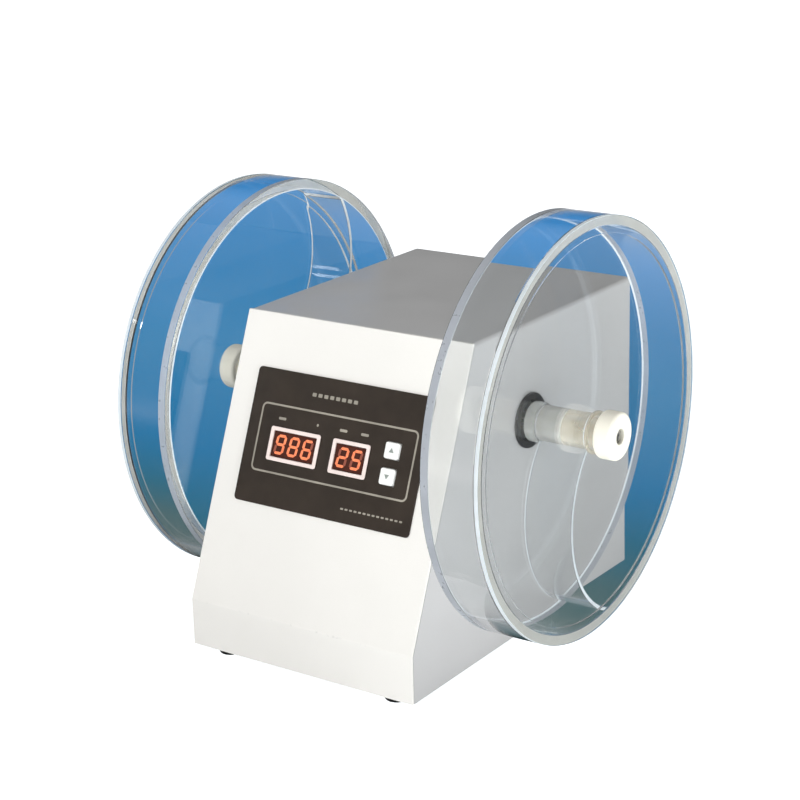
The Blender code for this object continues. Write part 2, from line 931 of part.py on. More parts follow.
def make_power_switch():
    """The switch housing and its rocker, which pivots at the middle of the housing's mouth."""
    width, height, depth = rocker_body()
    mouth = seat_gap + rocker_flange
    pivot = mouth - rocker_top
    lip = 2 * rocker_flange_lip
    place = (-rocker_x, inlet_height, 0)
    housing = add_mesh(
        "switch_housing",
        stepped_mesh(
            "switch_housing",
            [(width, height, seat_gap), (width + lip, height + lip, mouth)],
            pivot - depth,
        ),
        black_plastic,
        parent=rear,
        at=place,
    )
    swing = rocker_swing() + seat_gap
    pocket = centred_block(
        "rocker_pocket",
        rocker_width + 2 * seat_gap,
        2 * swing,
        pivot - swing,
        mouth + cut_overrun,
    )
    change(housing, add_mesh("rocker_pocket", pocket, parent=rear, at=place), "DIFFERENCE")
    start = math.atan2(rocker_top, rocker_half_height)
    sweep = math.pi + 2 * start
    outline = [(0, rocker_top - rocker_dip)]
    for i in range(turned_segments // 2 + 1):
        angle = math.pi - start + sweep * i / (turned_segments // 2)
        outline.append((rocker_swing() * math.cos(angle), rocker_swing() * math.sin(angle)))
    pivot_frame = add_empty(
        "rocker_pivot",
        parent=rear,
        at=(-rocker_x, inlet_height, pivot),
        turned=(rocker_tilt, 0, 0),
    )
    add_mesh(
        "power_rocker",
        outline_mesh("power_rocker", [outline], rocker_width),
        black_plastic,
        parent=pivot_frame,
        turned=side_on,
    )


def make_shaft():
    """The main shaft, with a thinner threaded stretch at each end."""
    profile = [
        (0, shaft_end),
        (thread_radius, shaft_end),
        (thread_radius, shaft_shoulder),
        (shaft_radius, shaft_shoulder),
        (shaft_radius, -shaft_shoulder),
        (thread_radius, -shaft_shoulder),
        (thread_radius, -shaft_end),
        (0, -shaft_end),
    ]
    turned_piece("main_shaft", profile, turned_segments, steel, parent=rotor, turned=face_right)


def make_shaft_rings():
    """The black ring in each side of the cover."""
    low = case_width / 2 + seat_gap
    profile = [
        (ring_radius, low + ring_flange),
        (ring_radius, low),
        (ring_bore + ring_wall, low),
        (ring_bore + ring_wall, low - ring_depth),
        (ring_bore, low - ring_depth),
        (ring_bore, low + ring_flange),
    ]
    for side, turned in (("right", face_right), ("left", face_left)):
        place = {"at": rotor.location, "turned": turned}
        turned_piece(side + "_shaft_ring", profile, turned_segments, black_plastic, **place)


def make_drum(side, turned, arm_turn):
    """One drum: the back disc, rim and arm that turn with the shaft, and what comes off."""
    drum = add_empty(side + "_drum", parent=rotor, turned=(arm_turn, 0, 0))
    place = {"parent": rotor, "turned": turned}
    turned_piece(
        side + "_back_disc",
        ring_profile(hub_radius + seat_gap, drum_radius, drum_back, chamber_start),
        drum_segments,
        clear_acrylic,
        **place,
    )
    turned_piece(
        side + "_rim",
        ring_profile(
            drum_inside_radius, drum_radius, chamber_start + seat_gap, chamber_end - seat_gap
        ),
        drum_segments,
        clear_acrylic,
        **place,
    )
    hub_low = drum_back - seat_gap - hub_boss_length
    turned_piece(
        side + "_hub",
        [
            (hub_radius, hub_end),
            (hub_radius, drum_back - seat_gap),
            (hub_boss_radius, drum_back - seat_gap),
            (hub_boss_radius, hub_low),
            (hub_bore, hub_low),
            (hub_bore, hub_end),
        ],
        turned_segments,
        clear_acrylic,
        **place,
    )
    sleeve_hole = sleeve_radius + seat_gap
    turned_piece(
        side + "_cover_disc",
        [
            (drum_radius, drum_front),
            (drum_radius, chamber_end),
            (ledge_outer, chamber_end),
            (ledge_outer, chamber_end - ledge_depth),
            (ledge_inner, chamber_end - ledge_depth),
            (ledge_inner, chamber_end),
            (sleeve_hole, chamber_end),
            (sleeve_hole, drum_front),
        ],
        drum_segments,
        clear_acrylic,
        **place,
    )
    turned_piece(
        side + "_sleeve",
        [
            (sleeve_radius, sleeve_end),
            (sleeve_radius, sleeve_flange_end),
            (sleeve_flange_radius, sleeve_flange_end),
            (sleeve_flange_radius, drum_front + seat_gap),
            (sleeve_radius, drum_front + seat_gap),
            (sleeve_radius, sleeve_start),
            (sleeve_bore, sleeve_start),
            (sleeve_bore, sleeve_end),
        ],
        turned_segments,
        ivory_nylon,
        **place,
    )
    make_knob(side, place)
    make_arm(side, drum, turned)


def make_knob(side, place):
    """The ivory hand knob, rounded on both edges, with a recess round the shaft's end."""
    profile = []
    for middle, start in ((knob_end - knob_round, math.pi / 2), (knob_start + knob_round, 0)):
        for i in range(corner_segments + 1):
            angle = start - i / corner_segments * math.pi / 2
            profile.append(
                (
                    knob_radius - knob_round + knob_round * math.cos(angle),
                    middle + knob_round * math.sin(angle),
                )
            )
    bore = thread_radius + seat_gap
    profile += [
        (bore, knob_start),
        (bore, knob_end - knob_recess_depth),
        (knob_recess_radius, knob_end - knob_recess_depth),
        (knob_recess_radius, knob_end),
    ]
    turned_piece(side + "_knob", profile, turned_segments, ivory_nylon, **place)


def make_arm(side, drum, turned):
    """The curved arm that lifts the tablets, from the hub to the rim."""
    inside = drum_inside_radius * arm_radius_share
    outside = inside + arm_thickness
    centre = inside + arm_thickness / 2 + arm_axis_offset
    reach = (drum_inside_radius**2 - centre**2 - inside**2) / (2 * centre * inside)
    last = math.acos(reach) - cut_overrun / inside
    angles = [math.pi + (last - math.pi) * i / arm_segments for i in range(arm_segments + 1)]
    outline = [(centre + inside * math.cos(a), -inside * math.sin(a)) for a in angles]
    outline += [(centre + outside * math.cos(a), -outside * math.sin(a)) for a in angles[::-1]]
    width = drum_inside_depth - 2 * seat_gap
    middle = SIDES[side] * (chamber_start + chamber_end) / 2
    arm = add_mesh(
        side + "_arm",
        outline_mesh(side + "_arm", [outline], width),
        clear_acrylic,
        parent=drum,
        at=(middle, 0, 0),
        turned=side_on,
    )
    low = chamber_start - cut_overrun
    high = chamber_end + cut_overrun
    place = {"parent": rotor, "turned": turned}
    room = rod_mesh(side + "_rim_room", drum_inside_radius - seat_gap, low, high, drum_segments)
    change(arm, add_mesh(side + "_rim_room", room, **place), "INTERSECT")
    room = rod_mesh(side + "_hub_room", hub_radius + seat_gap, low, high, turned_segments)
    change(arm, add_mesh(side + "_hub_room", room, **place), "DIFFERENCE")
    ledge = turned_piece(
        side + "_ledge_room",
        ring_profile(
            ledge_inner - seat_gap,
            drum_radius,
            chamber_end - ledge_depth - seat_gap,
            high,
        ),
        drum_segments,
        **place,
    )
    change(arm, ledge, "DIFFERENCE")


def make_bearings():
    """Two bearings, the upright brackets that hold them and the collars beside them."""
    top = axis_height + bearing_radius + bracket_margin
    half_top = bearing_radius + bracket_margin
    outline = [
        (-bracket_half_base, floor_height),
        (bracket_half_base, floor_height),
        (half_top, top),
        (-half_top, top),
    ]
    hole = circle(bearing_radius + seat_gap, turned_segments, (0, axis_height))
    chamfer = bearing_chamfer
    half = bearing_width / 2
    section = [
        (bearing_radius - chamfer, half),
        (bearing_radius, half - chamfer),
        (bearing_radius, chamfer - half),
        (bearing_radius - chamfer, -half),
        (shaft_radius + seat_gap, -half),
        (shaft_radius + seat_gap, half),
    ]
    for side, sign in SIDES.items():
        bracket = add_mesh(
            side + "_bearing_bracket",
            outline_mesh(side + "_bearing_bracket", [outline, hole], bearing_width),
            aluminium,
            at=(sign * bearing_centre, 0, 0),
            turned=side_on,
        )
        ends = sorted((sign * bearing_centre, sign * (bracket_outer + bracket_foot)))
        foot = block_mesh(
            side + "_bracket_foot",
            (ends[0], -bracket_half_base, floor_height),
            (ends[1], bracket_half_base, floor_height + bracket_foot_thickness),
        )
        change(bracket, add_mesh(side + "_bracket_foot", foot), "UNION")
        turned_piece(
            side + "_bearing",
            section,
            turned_segments,
            steel,
            at=(sign * bearing_centre, 0, axis_height),
            turned=face_right,
        )
        turned_piece(
            side + "_collar",
            ring_profile(
                shaft_radius + seat_gap, collar_radius, collar_start, collar_start + collar_width
            ),
            turned_segments,
            dark_steel,
            parent=rotor,
            turned=face_right if sign > 0 else face_left,
        )


def gear_outline(teeth, turn):
    """A gear's outline, with a tooth centred on the turn angle."""
    pitch_radius = gear_module * teeth / 2
    half_tooth = math.pi * gear_module / 4 - gear_backlash / 2
    rise = gear_module * addendum_share
    fall = gear_module * dedendum_share
    flank = math.tan(pressure_angle)
    corners = []
    for radius, half in (
        (pitch_radius - fall, half_tooth + fall * flank),
        (pitch_radius + rise, half_tooth - rise * flank),
    ):
        corners.append((radius, half / radius))
    root, tip = corners
    points = []
    for i in range(teeth):
        middle = turn + 2 * math.pi * i / teeth
        for radius, angle in (
            (root[0], -root[1]),
            (tip[0], -tip[1]),
            (tip[0], tip[1]),
            (root[0], root[1]),
        ):
            points.append((radius * math.cos(middle + angle), radius * math.sin(middle + angle)))
    return points


def make_gears():
    """The drive gear on the main shaft and the pinion in mesh under it."""
    bore = circle(shaft_radius + seat_gap, turned_segments)
    gear = add_mesh(
        "drive_gear",
        outline_mesh("drive_gear", [gear_outline(gear_teeth, 0), bore], gear_width),
        brass,
        parent=rotor,
        at=(gear_centre, 0, 0),
        turned=face_right,
    )
    hub = turned_piece(
        "gear_hub",
        ring_profile(
            shaft_radius + seat_gap, gear_hub_radius, 0, gear_width / 2 + gear_hub_length
        ),
        turned_segments,
        parent=rotor,
        at=(gear_centre, 0, 0),
        turned=face_right,
    )
    change(gear, hub, "UNION")
    bore = circle(motor_shaft_radius + seat_gap, small_segments)
    turn = math.pi / pinion_teeth
    motor_axis = add_empty("motor_axis", at=(0, 0, motor_height))
    add_mesh(
        "pinion",
        outline_mesh("pinion", [gear_outline(pinion_teeth, turn), bore], gear_width),
        steel,
        parent=motor_axis,
        at=(gear_centre, 0, 0),
        turned=face_right,
    )
    low = gearbox_front - motor_shaft_seat
    high = gear_centre + gear_width / 2 + motor_shaft_overhang
    add_mesh(
        "motor_shaft",
        rod_mesh("motor_shaft", motor_shaft_radius, low, high, small_segments),
        steel,
        parent=motor_axis,
        turned=face_right,
    )


def make_motor():
    """The motor, its gearbox and the plate that carries them."""
    half = gearbox_size / 2
    gearbox = add_mesh(
        "gearbox",
        block_mesh(
            "gearbox",
            (gearbox_front - gearbox_length, -half, motor_height - half),
            (gearbox_front, half, motor_height + half),
        ),
        aluminium,
    )
    bore = rod_mesh(
        "gearbox_bore",
        motor_shaft_radius + seat_gap,
        gearbox_front - motor_shaft_seat - seat_gap,
        gearbox_front + cut_overrun,
        small_segments,
    )
    place = {"at": (0, 0, motor_height), "turned": face_right}
    change(gearbox, add_mesh("gearbox_bore", bore, **place), "DIFFERENCE")
    low = motor_front - motor_length
    turned_piece(
        "motor",
        [
            (0, motor_front),
            (motor_radius, motor_front),
            (motor_radius, low + motor_cap_length),
            (motor_cap_radius, low + motor_cap_length),
            (motor_cap_radius, low),
            (0, low),
        ],
        turned_segments,
        dark_steel,
        **place,
    )
    top = motor_height + half + motor_plate_margin
    outline = rectangle(
        2 * motor_plate_half_width, top - floor_height, (0, (top + floor_height) / 2)
    )
    hole = circle(motor_plate_bore, turned_segments, (0, motor_height))
    plate = add_mesh(
        "motor_bracket",
        outline_mesh("motor_bracket", [outline, hole], motor_plate),
        zinc_sheet,
        at=(gearbox_front + seat_gap + motor_plate / 2, 0, 0),
        turned=side_on,
    )
    foot = block_mesh(
        "motor_bracket_foot",
        (gearbox_front - gearbox_length, -motor_plate_half_width, floor_height),
        (
            gearbox_front + seat_gap + motor_plate / 2,
            motor_plate_half_width,
            floor_height + motor_plate,
        ),
    )
    change(plate, add_mesh("motor_bracket_foot", foot), "UNION")


def make_turn_counter():
    """The slotted disc on the shaft and the forked sensor on the left bracket."""
    outlines = [
        circle(slotted_disc_radius, turned_segments),
        circle(shaft_radius + seat_gap, small_segments),
    ]
    slot_middle = slotted_disc_radius - slot_edge - slot_depth / 2
    for i in range(slot_count):
        angle = 2 * math.pi * i / slot_count
        corners = rectangle(slot_depth, slot_width, (slot_middle, 0))
        outlines.append(
            [
                (
                    x * math.cos(angle) - y * math.sin(angle),
                    x * math.sin(angle) + y * math.cos(angle),
                )
                for x, y in corners
            ]
        )
    disc_place = bracket_inner - slotted_disc_standoff
    add_mesh(
        "slotted_disc",
        outline_mesh("slotted_disc", outlines, slotted_disc_thickness),
        dark_steel,
        parent=rotor,
        at=(-disc_place, 0, 0),
        turned=face_right,
    )
    top = axis_height - slotted_disc_radius + sensor_overlap
    low_x = seat_gap - bracket_inner
    high_x = -disc_place + sensor_groove / 2 + sensor_arm
    sensor = add_mesh(
        "turn_sensor",
        block_mesh(
            "turn_sensor",
            (low_x, -sensor_width / 2, top - sensor_height),
            (high_x, sensor_width / 2, top),
        ),
        black_plastic,
    )
    groove = block_mesh(
        "sensor_groove",
        (
            -disc_place - sensor_groove / 2,
            -sensor_width / 2 - cut_overrun,
            top - sensor_overlap - sensor_floor_clearance,
        ),
        (-disc_place + sensor_groove / 2, sensor_width / 2 + cut_overrun, top + cut_overrun),
    )
    change(sensor, add_mesh("sensor_groove", groove), "DIFFERENCE")


def make_supply():
    """The transformer and the power board, both on the tray behind the motor."""
    y = case_depth * supply_y_share
    plate_top = floor_height + transformer_plate
    core_top = plate_top + transformer_core
    steps = [
        (*transformer_plate_size, plate_top),
        (*transformer_core_size, core_top),
        (*transformer_coil_size, core_top + transformer_coil),
    ]
    add_mesh(
        "transformer",
        stepped_mesh("transformer", steps, floor_height),
        dark_steel,
        at=(case_width * transformer_x_share, y, 0),
    )
    width, height = power_board_size
    low = floor_height + power_board_rise
    place = (case_width * power_board_x_share, y, 0)
    board = add_mesh(
        "power_board",
        centred_block("power_board", width, height, low, low + board_thickness),
        board_green,
        at=place,
    )
    inside = low + board_thickness / 2
    for u in (-1, 1):
        for v in (-1, 1):
            name = "leg_" + ("right" if u > 0 else "left") + ("_rear" if v > 0 else "_front")
            leg = rod_mesh(name, power_board_leg, floor_height, inside, small_segments)
            x = case_width * power_board_x_share + u * (width / 2 - power_board_leg_inset)
            leg_y = y + v * (height / 2 - power_board_leg_inset)
            change(board, add_mesh(name, leg, at=(x, leg_y, 0)), "UNION")
    capacitor = rod_mesh(
        "capacitor", capacitor_radius, inside, inside + capacitor_height, small_segments
    )
    x = place[0] + width * capacitor_x_share
    change(board, add_mesh("capacitor", capacitor, at=(x, y, 0)), "UNION")
    heat_sink = centred_block("heat_sink", *heat_sink_size, inside, inside + heat_sink_height)
    x = place[0] + width * heat_sink_x_share
    change(board, add_mesh("heat_sink", heat_sink, at=(x, y, 0)), "UNION")


def smooth_round_pieces():
    """Shades the curved faces of every piece smooth, with sharp edges kept."""
    for piece in parts.objects:
        if piece.type == "MESH" and not piece.modifiers:
            piece.data.shade_smooth()
            piece.data.set_sharp_from_angle(angle=math.radians(30))


make_front_panel()
make_cover()
make_base_plate()
make_feet()
make_fascia()
make_displays()
make_buttons()
make_control_board()
make_rear_panel()
make_rear_screws()
make_inlet()
make_power_switch()
make_shaft()
make_shaft_rings()
make_drum("right", face_right, right_arm_turn)
make_drum("left", face_left, left_arm_turn)
make_bearings()
make_gears()
make_motor()
make_turn_counter()
make_supply()
smooth_round_pieces()
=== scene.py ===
"""Looks of a two-drum tablet friability tester, built round its CAD frame.

Lengths are in metres, in the frame's axes: +Z is up, the keypad faces -Y and the shaft lies
along X. Colours are written as a screen shows them, from 0 to 255, and turned into linear light.
"""

import json
import logging
import math
from dataclasses import dataclass, field
from enum import Enum
from typing import Sequence, Union

import bmesh
import bpy
from mathutils import Matrix, Vector


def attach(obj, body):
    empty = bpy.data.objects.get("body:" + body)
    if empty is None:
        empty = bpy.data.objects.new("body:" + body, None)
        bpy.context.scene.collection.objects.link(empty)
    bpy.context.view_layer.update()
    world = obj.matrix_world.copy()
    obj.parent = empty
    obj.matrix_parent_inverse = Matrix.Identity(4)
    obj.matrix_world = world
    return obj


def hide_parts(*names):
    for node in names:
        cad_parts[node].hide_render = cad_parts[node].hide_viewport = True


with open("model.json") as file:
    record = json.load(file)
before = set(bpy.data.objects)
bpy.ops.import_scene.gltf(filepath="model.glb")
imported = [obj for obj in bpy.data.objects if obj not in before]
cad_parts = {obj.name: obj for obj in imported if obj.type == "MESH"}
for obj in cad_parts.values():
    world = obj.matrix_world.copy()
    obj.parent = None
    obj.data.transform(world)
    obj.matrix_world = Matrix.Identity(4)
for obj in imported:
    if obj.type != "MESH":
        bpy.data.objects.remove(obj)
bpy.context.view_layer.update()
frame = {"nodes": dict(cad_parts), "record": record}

log = logging.getLogger("friability_tester")

Colour = tuple[float, float, float]
Flat = tuple[float, float]
Spot = tuple[float, float, float]
Plan = tuple[float, float, float]
Stops = Sequence[tuple[float, Colour]]
Piece = bpy.types.Object
Socket = bpy.types.NodeSocket
Fed = Union[Socket, float, int, Sequence[float]]
Feeds = dict[Union[str, int], Fed]

# Tolerances, and the angles in degrees from which an edge stays sharp
WELD = 0.000002
GAP = 0.0003
CREASE = 32.0
CLEAR_CREASE = 10.0

# A face narrower than this, beside one at more than this angle, takes edge wear
EDGE_WIDTH = 0.0012
EDGE_BEND = math.radians(8)

# Places and sizes that more than one sub-assembly uses
AXIS_HEIGHT = 0.167
HALF_DEPTH = 0.147
UNDERSIDE = 0.006
FOLD_HEIGHT = 0.041
LEAN = math.radians(22.5)
KEYPAD_RISE = 0.1257
READOUT_XS = (-0.0321, 0.01635)
READOUT_Y = -0.0041
BUTTON_X = 0.0502
BUTTON_YS = (0.0073, -0.0107)
INLET_SPOT = (-0.048, 0.048)
SWITCH_SPOT = (-0.008, 0.048)

# Frames that pieces are built in
UNMOVED = Matrix.Identity(4)
UPRIGHT = Matrix(((1, 0, 0, 0), (0, 0, -1, 0), (0, 1, 0, 0), (0, 0, 0, 1)))
SIDE_ON = Matrix(((0, 0, 1, 0), (1, 0, 0, 0), (0, 1, 0, 0), (0, 0, 0, 1)))
REAR = Matrix(((-1, 0, 0, 0), (0, 0, 1, HALF_DEPTH), (0, 1, 0, UNDERSIDE), (0, 0, 0, 1)))
SLOPE = Matrix.Translation((0.0, -HALF_DEPTH, FOLD_HEIGHT)) @ Matrix.Rotation(math.pi / 2 - LEAN, 4, "X")
KEYPAD = SLOPE @ Matrix.Translation((0.0, KEYPAD_RISE, 0.0))
AXIS = Matrix.Translation((0.0, 0.0, AXIS_HEIGHT))


class Side(Enum):
    """The two ends of the shaft, with the direction of each along X."""

    LEFT = -1
    RIGHT = 1

    @property
    def word(self) -> str:
        """The side's name, as the frame's nodes write it."""
        return self.name.lower()

    @property
    def outward(self) -> Matrix:
        """Turns a piece's own Z outwards along the shaft, with its origin on the axis."""
        return AXIS @ Matrix.Rotation(self.value * math.pi / 2, 4, "Y")


def light(red: float, green: float, blue: float) -> Colour:
    """Turns a colour as a screen shows it into linear light.

    Args:
        red: Red, from 0 to 255.
        green: Green, from 0 to 255.
        blue: Blue, from 0 to 255.

    Returns:
        The three linear values.
    """
    shares = [value / 255 for value in (red, green, blue)]
    return tuple(s / 12.92 if s <= 0.04045 else ((s + 0.055) / 1.055) ** 2.4 for s in shares)


class Tree:
    """Adds nodes to a tree and links them."""

    def __init__(self, tree: bpy.types.NodeTree) -> None:
        """Keeps the tree that the nodes go into."""
        self.tree = tree

    def add(self, kind: str, feeds: Feeds | None = None, **settings: object) -> bpy.types.Node:
        """Adds a node.

        Args:
            kind: The node's type name.
            feeds: What each input takes: another node's socket or a value.
            **settings: The node's own properties.

        Returns:
            The node.
        """
        node = self.tree.nodes.new(kind)
        for name, value in settings.items():
            setattr(node, name, value)
        for name, value in (feeds or {}).items():
            self.feed(node.inputs[name], value)
        return node

    def feed(self, socket: Socket, value: Fed) -> None:
        """Links a socket to another one, or gives it a value.

        Args:
            socket: The input.
            value: Another node's socket, or a value.
        """
        if isinstance(value, Socket):
            self.tree.links.new(value, socket)
        else:
            socket.default_value = value

    def sum(self, operation: str, first: Fed, second: Fed = 0.0) -> Socket:
        """Adds a Math node and returns its result."""
        feeds = {0: first, 1: second}
        return self.add("ShaderNodeMath", feeds, operation=operation).outputs[0]

    def blend(self, share: Fed, first: Fed, second: Fed) -> Socket:
        """Mixes two colours by a share and returns the result.

        Args:
            share: The second colour's share.
            first: The first colour.
            second: The second colour.

        Returns:
            The mixed colour.
        """
        node = self.add("ShaderNodeMix", data_type="RGBA")
        for index, value in ((0, share), (6, first), (7, second)):
            plain = not isinstance(value, (Socket, float, int))
            self.feed(node.inputs[index], (*value, 1.0) if plain else value)
        return node.outputs[2]

    def between(self, value: Fed, ends: Sequence[Fed], shares: Sequence[Fed] = (0.0, 1.0)) -> Socket:
        """Spreads a value between two ends over a range.

        Args:
            value: The value.
            ends: The low and the high end that it runs between.
            shares: What it becomes at them.

        Returns:
            The spread value.
        """
        feeds = {"Value": value, "From Min": ends[0], "From Max": ends[1]}
        feeds |= {"To Min": shares[0], "To Max": shares[1]}
        return self.add("ShaderNodeMapRange", feeds).outputs[0]

    def ramp(self, value: Socket, stops: Stops) -> Socket:
        """A colour ramp over values from -1 to 1.

        Args:
            value: The value.
            stops: The value and colour of each stop, in order.

        Returns:
            The colour.
        """
        node = self.add("ShaderNodeValToRGB", {0: self.between(value, (-1.0, 1.0))})
        elements = node.color_ramp.elements
        while len(elements) < len(stops):
            elements.new(0.5)
        for element, (level, colour) in zip(elements, stops):
            element.position = (level + 1) / 2
            element.color = (*colour, 1.0)
        return node.outputs[0]


class Effect(Enum):
    """Effects that several finishes share, each a shader node group."""

    GRAIN = "fine_grain"
    WEAR = "edge_wear"
    DUST = "settled_dust"
    SMEARS = "hand_smears"

    def group(self) -> bpy.types.NodeTree:
        """Builds the group the first time, and returns it.

        Returns:
            The group.
        """
        made = bpy.data.node_groups.get(self.value)
        if made is None:
            made = bpy.data.node_groups.new(self.value, "ShaderNodeTree")
            makers = {
                Effect.GRAIN: self.fill_grain,
                Effect.WEAR: self.fill_wear,
                Effect.DUST: self.fill_dust,
                Effect.SMEARS: self.fill_smears,
            }
            makers[self](made)
        return made

    @staticmethod
    def sockets(
        made: bpy.types.NodeTree, numbers: dict[str, float], output: str
    ) -> tuple[Tree, bpy.types.Node, bpy.types.Node]:
        """Gives a group its named inputs and its output.

        Args:
            made: The group.
            numbers: The number inputs, with what each starts at.
            output: The output's name.

        Returns:
            The tree helper, the group's input node and its output node.
        """
        made.interface.new_socket("Vector", in_out="INPUT", socket_type="NodeSocketVector")
        for name, value in numbers.items():
            socket = made.interface.new_socket(name, in_out="INPUT", socket_type="NodeSocketFloat")
            socket.default_value = value
        made.interface.new_socket(output, in_out="OUTPUT", socket_type="NodeSocketFloat")
        tree = Tree(made)
        return tree, tree.add("NodeGroupInput"), tree.add("NodeGroupOutput")

    @staticmethod
    def noise(tree: Tree, start: bpy.types.Node, **more: Fed) -> Socket:
        """Noise at the group's own coordinates and scale."""
        feeds = {name: start.outputs[name] for name in ("Vector", "Scale")}
        return tree.add("ShaderNodeTexNoise", feeds | more).outputs[0]

    def fill_grain(self, made: bpy.types.NodeTree) -> None:
        """Noise at a scale, between a low and a high value.

        Args:
            made: The new group.
        """
        numbers = {"Scale": 100.0, "Detail": 2.0, "Low": 0.0, "High": 1.0}
        tree, start, end = self.sockets(made, numbers, "Value")
        noise = self.noise(tree, start, Detail=start.outputs["Detail"])
        shares = (start.outputs["Low"], start.outputs["High"])
        tree.feed(end.inputs[0], tree.between(noise, (0.3, 0.7), shares))

    def fill_wear(self, made: bpy.types.NodeTree) -> None:
        """Broken patches along the edges that a piece marks in its edge attribute.

        Args:
            made: The new group.
        """
        tree, start, end = self.sockets(made, {"Scale": 400.0, "Amount": 0.5}, "Mask")
        noise = self.noise(tree, start, Detail=3.0)
        edge = tree.add("ShaderNodeAttribute", attribute_name="edge")
        least = tree.sum("SUBTRACT", 1.0, start.outputs["Amount"])
        worn = tree.between(noise, (least, 1.0))
        tree.feed(end.inputs[0], tree.sum("MULTIPLY", worn, edge.outputs["Fac"]))

    def fill_dust(self, made: bpy.types.NodeTree) -> None:
        """A thin uneven film on what faces up.

        Args:
            made: The new group.
        """
        tree, start, end = self.sockets(made, {"Scale": 30.0, "Amount": 0.2}, "Mask")
        noise = self.noise(tree, start, Detail=5.0)
        normal = tree.add("ShaderNodeNewGeometry").outputs["Normal"]
        rise = tree.add("ShaderNodeSeparateXYZ", {0: normal}).outputs[2]
        facing = tree.between(rise, (0.3, 1.0))
        cover = tree.sum("MULTIPLY", tree.sum("MULTIPLY", noise, facing), start.outputs["Amount"])
        tree.feed(end.inputs[0], cover)

    def fill_smears(self, made: bpy.types.NodeTree) -> None:
        """Soft patches that hands and cloths leave on a polished face.

        Args:
            made: The new group.
        """
        tree, start, end = self.sockets(made, {"Scale": 14.0, "Amount": 1.0}, "Mask")
        noise = self.noise(tree, start, Detail=4.0, Distortion=1.2)
        patch = tree.between(noise, (0.5, 0.75))
        tree.feed(end.inputs[0], tree.sum("MULTIPLY", patch, start.outputs["Amount"]))


class Surface(Tree):
    """A material in the making, round one Principled shader."""

    def __init__(self, name: str) -> None:
        """Opens a new material with its shader and its Object coordinates.

        Args:
            name: The material's name.
        """
        self.material = bpy.data.materials.new(name)
        self.material.use_nodes = True
        super().__init__(self.material.node_tree)
        self.shader = self.tree.nodes["Principled BSDF"]
        self.place = self.add("ShaderNodeTexCoord").outputs["Object"]

    def plain(self, **values: Fed) -> None:
        """Sets the shader's own sockets.

        Args:
            **values: What each socket takes. A name's underscores stand for spaces.
        """
        for name, value in values.items():
            socket = self.shader.inputs[name.replace("_", " ")]
            if not isinstance(value, Socket) and socket.type == "RGBA":
                value = (*value, 1.0)
            self.feed(socket, value)

    def effect(self, kind: Effect, place: Fed | None = None, **numbers: float) -> Socket:
        """Places a shared effect.

        Args:
            kind: Which one.
            place: The coordinates that it reads, where they aren't the plain Object ones.
            **numbers: Its inputs.

        Returns:
            Its output.
        """
        node = self.add("ShaderNodeGroup", node_tree=kind.group())
        self.feed(node.inputs["Vector"], self.place if place is None else place)
        for name, value in numbers.items():
            self.feed(node.inputs[name], value)
        return node.outputs[0]

    def stretched(self, scale: Sequence[float]) -> Socket:
        """Object coordinates, scaled apart along the three axes."""
        return self.add("ShaderNodeMapping", {"Vector": self.place, "Scale": scale}).outputs[0]

    def bump(self, height: Socket, depth: float, strength: float = 1.0) -> None:
        """Feeds a height into the shader's normal."""
        feeds = {"Height": height, "Distance": depth, "Strength": strength}
        self.feed(self.shader.inputs["Normal"], self.add("ShaderNodeBump", feeds).outputs[0])

    def toned(self, colour: Colour, value: Fed, amount: float) -> Socket:
        """A colour that a value darkens and lightens by an amount each way.

        Args:
            colour: The middle colour.
            value: From 0, darkest, to 1, palest.
            amount: The share by which it changes each way.

        Returns:
            The toned colour.
        """
        dark = [c * (1 - amount) for c in colour]
        pale = [min(1.0, c * (1 + amount)) for c in colour]
        return self.blend(value, dark, pale)


@dataclass(frozen=True)
class Finish:
    """A finish that builds its material once.

    Attributes:
        name: The material's name.
        slot: The record's material slot that it belongs to; not used.
        colour: Its main colour, in linear light.
        roughness: How matt it is.
    """

    name: str
    slot: str
    colour: Colour
    roughness: float = 0.4

    def material(self) -> bpy.types.Material:
        """Returns the material, made the first time it is asked for.

        Returns:
            The material.
        """
        made = bpy.data.materials.get(self.name)
        if made is None:
            surface = Surface(self.name)
            self.fill(surface)
            made = surface.material
        return made

    def fill(self, surface: Surface) -> None:
        """Builds the finish on its material."""
        raise NotImplementedError


@dataclass(frozen=True)
class PowderCoat(Finish):
    """Baked paint on sheet metal, with a fine orange peel.

    Attributes:
        peel: Depth of the orange peel.
        clouding: How far the tone drifts over a large face.
    """

    peel: float = 0.00008
    clouding: float = 0.03

    def fill(self, surface: Surface) -> None:
        """Paint with drifting tone, worn edges, dust on top and a peel in its gloss.

        Args:
            surface: The material in the making.
        """
        cloud = surface.effect(Effect.GRAIN, Scale=9.0, Detail=3.0)
        fleck = surface.effect(Effect.GRAIN, Scale=2600.0, Detail=1.0)
        coarse, fine = surface.sum("MULTIPLY", cloud, 0.7), surface.sum("MULTIPLY", fleck, 0.3)
        tone = surface.sum("ADD", coarse, fine)
        colour = surface.toned(self.colour, tone, self.clouding)
        wear = surface.effect(Effect.WEAR, Scale=260.0, Amount=0.42)
        colour = surface.blend(wear, colour, light(196, 196, 192))
        dust = surface.effect(Effect.DUST, Scale=40.0, Amount=0.10)
        colour = surface.blend(dust, colour, light(226, 223, 216))
        low, high = self.roughness - 0.05, self.roughness + 0.08
        matt = surface.effect(Effect.GRAIN, Scale=35.0, Detail=4.0, Low=low, High=high)
        surface.plain(Base_Color=colour, Roughness=matt, Specular_IOR_Level=0.5)
        surface.bump(surface.effect(Effect.GRAIN, Scale=1100.0, Detail=1.0), self.peel, 0.35)


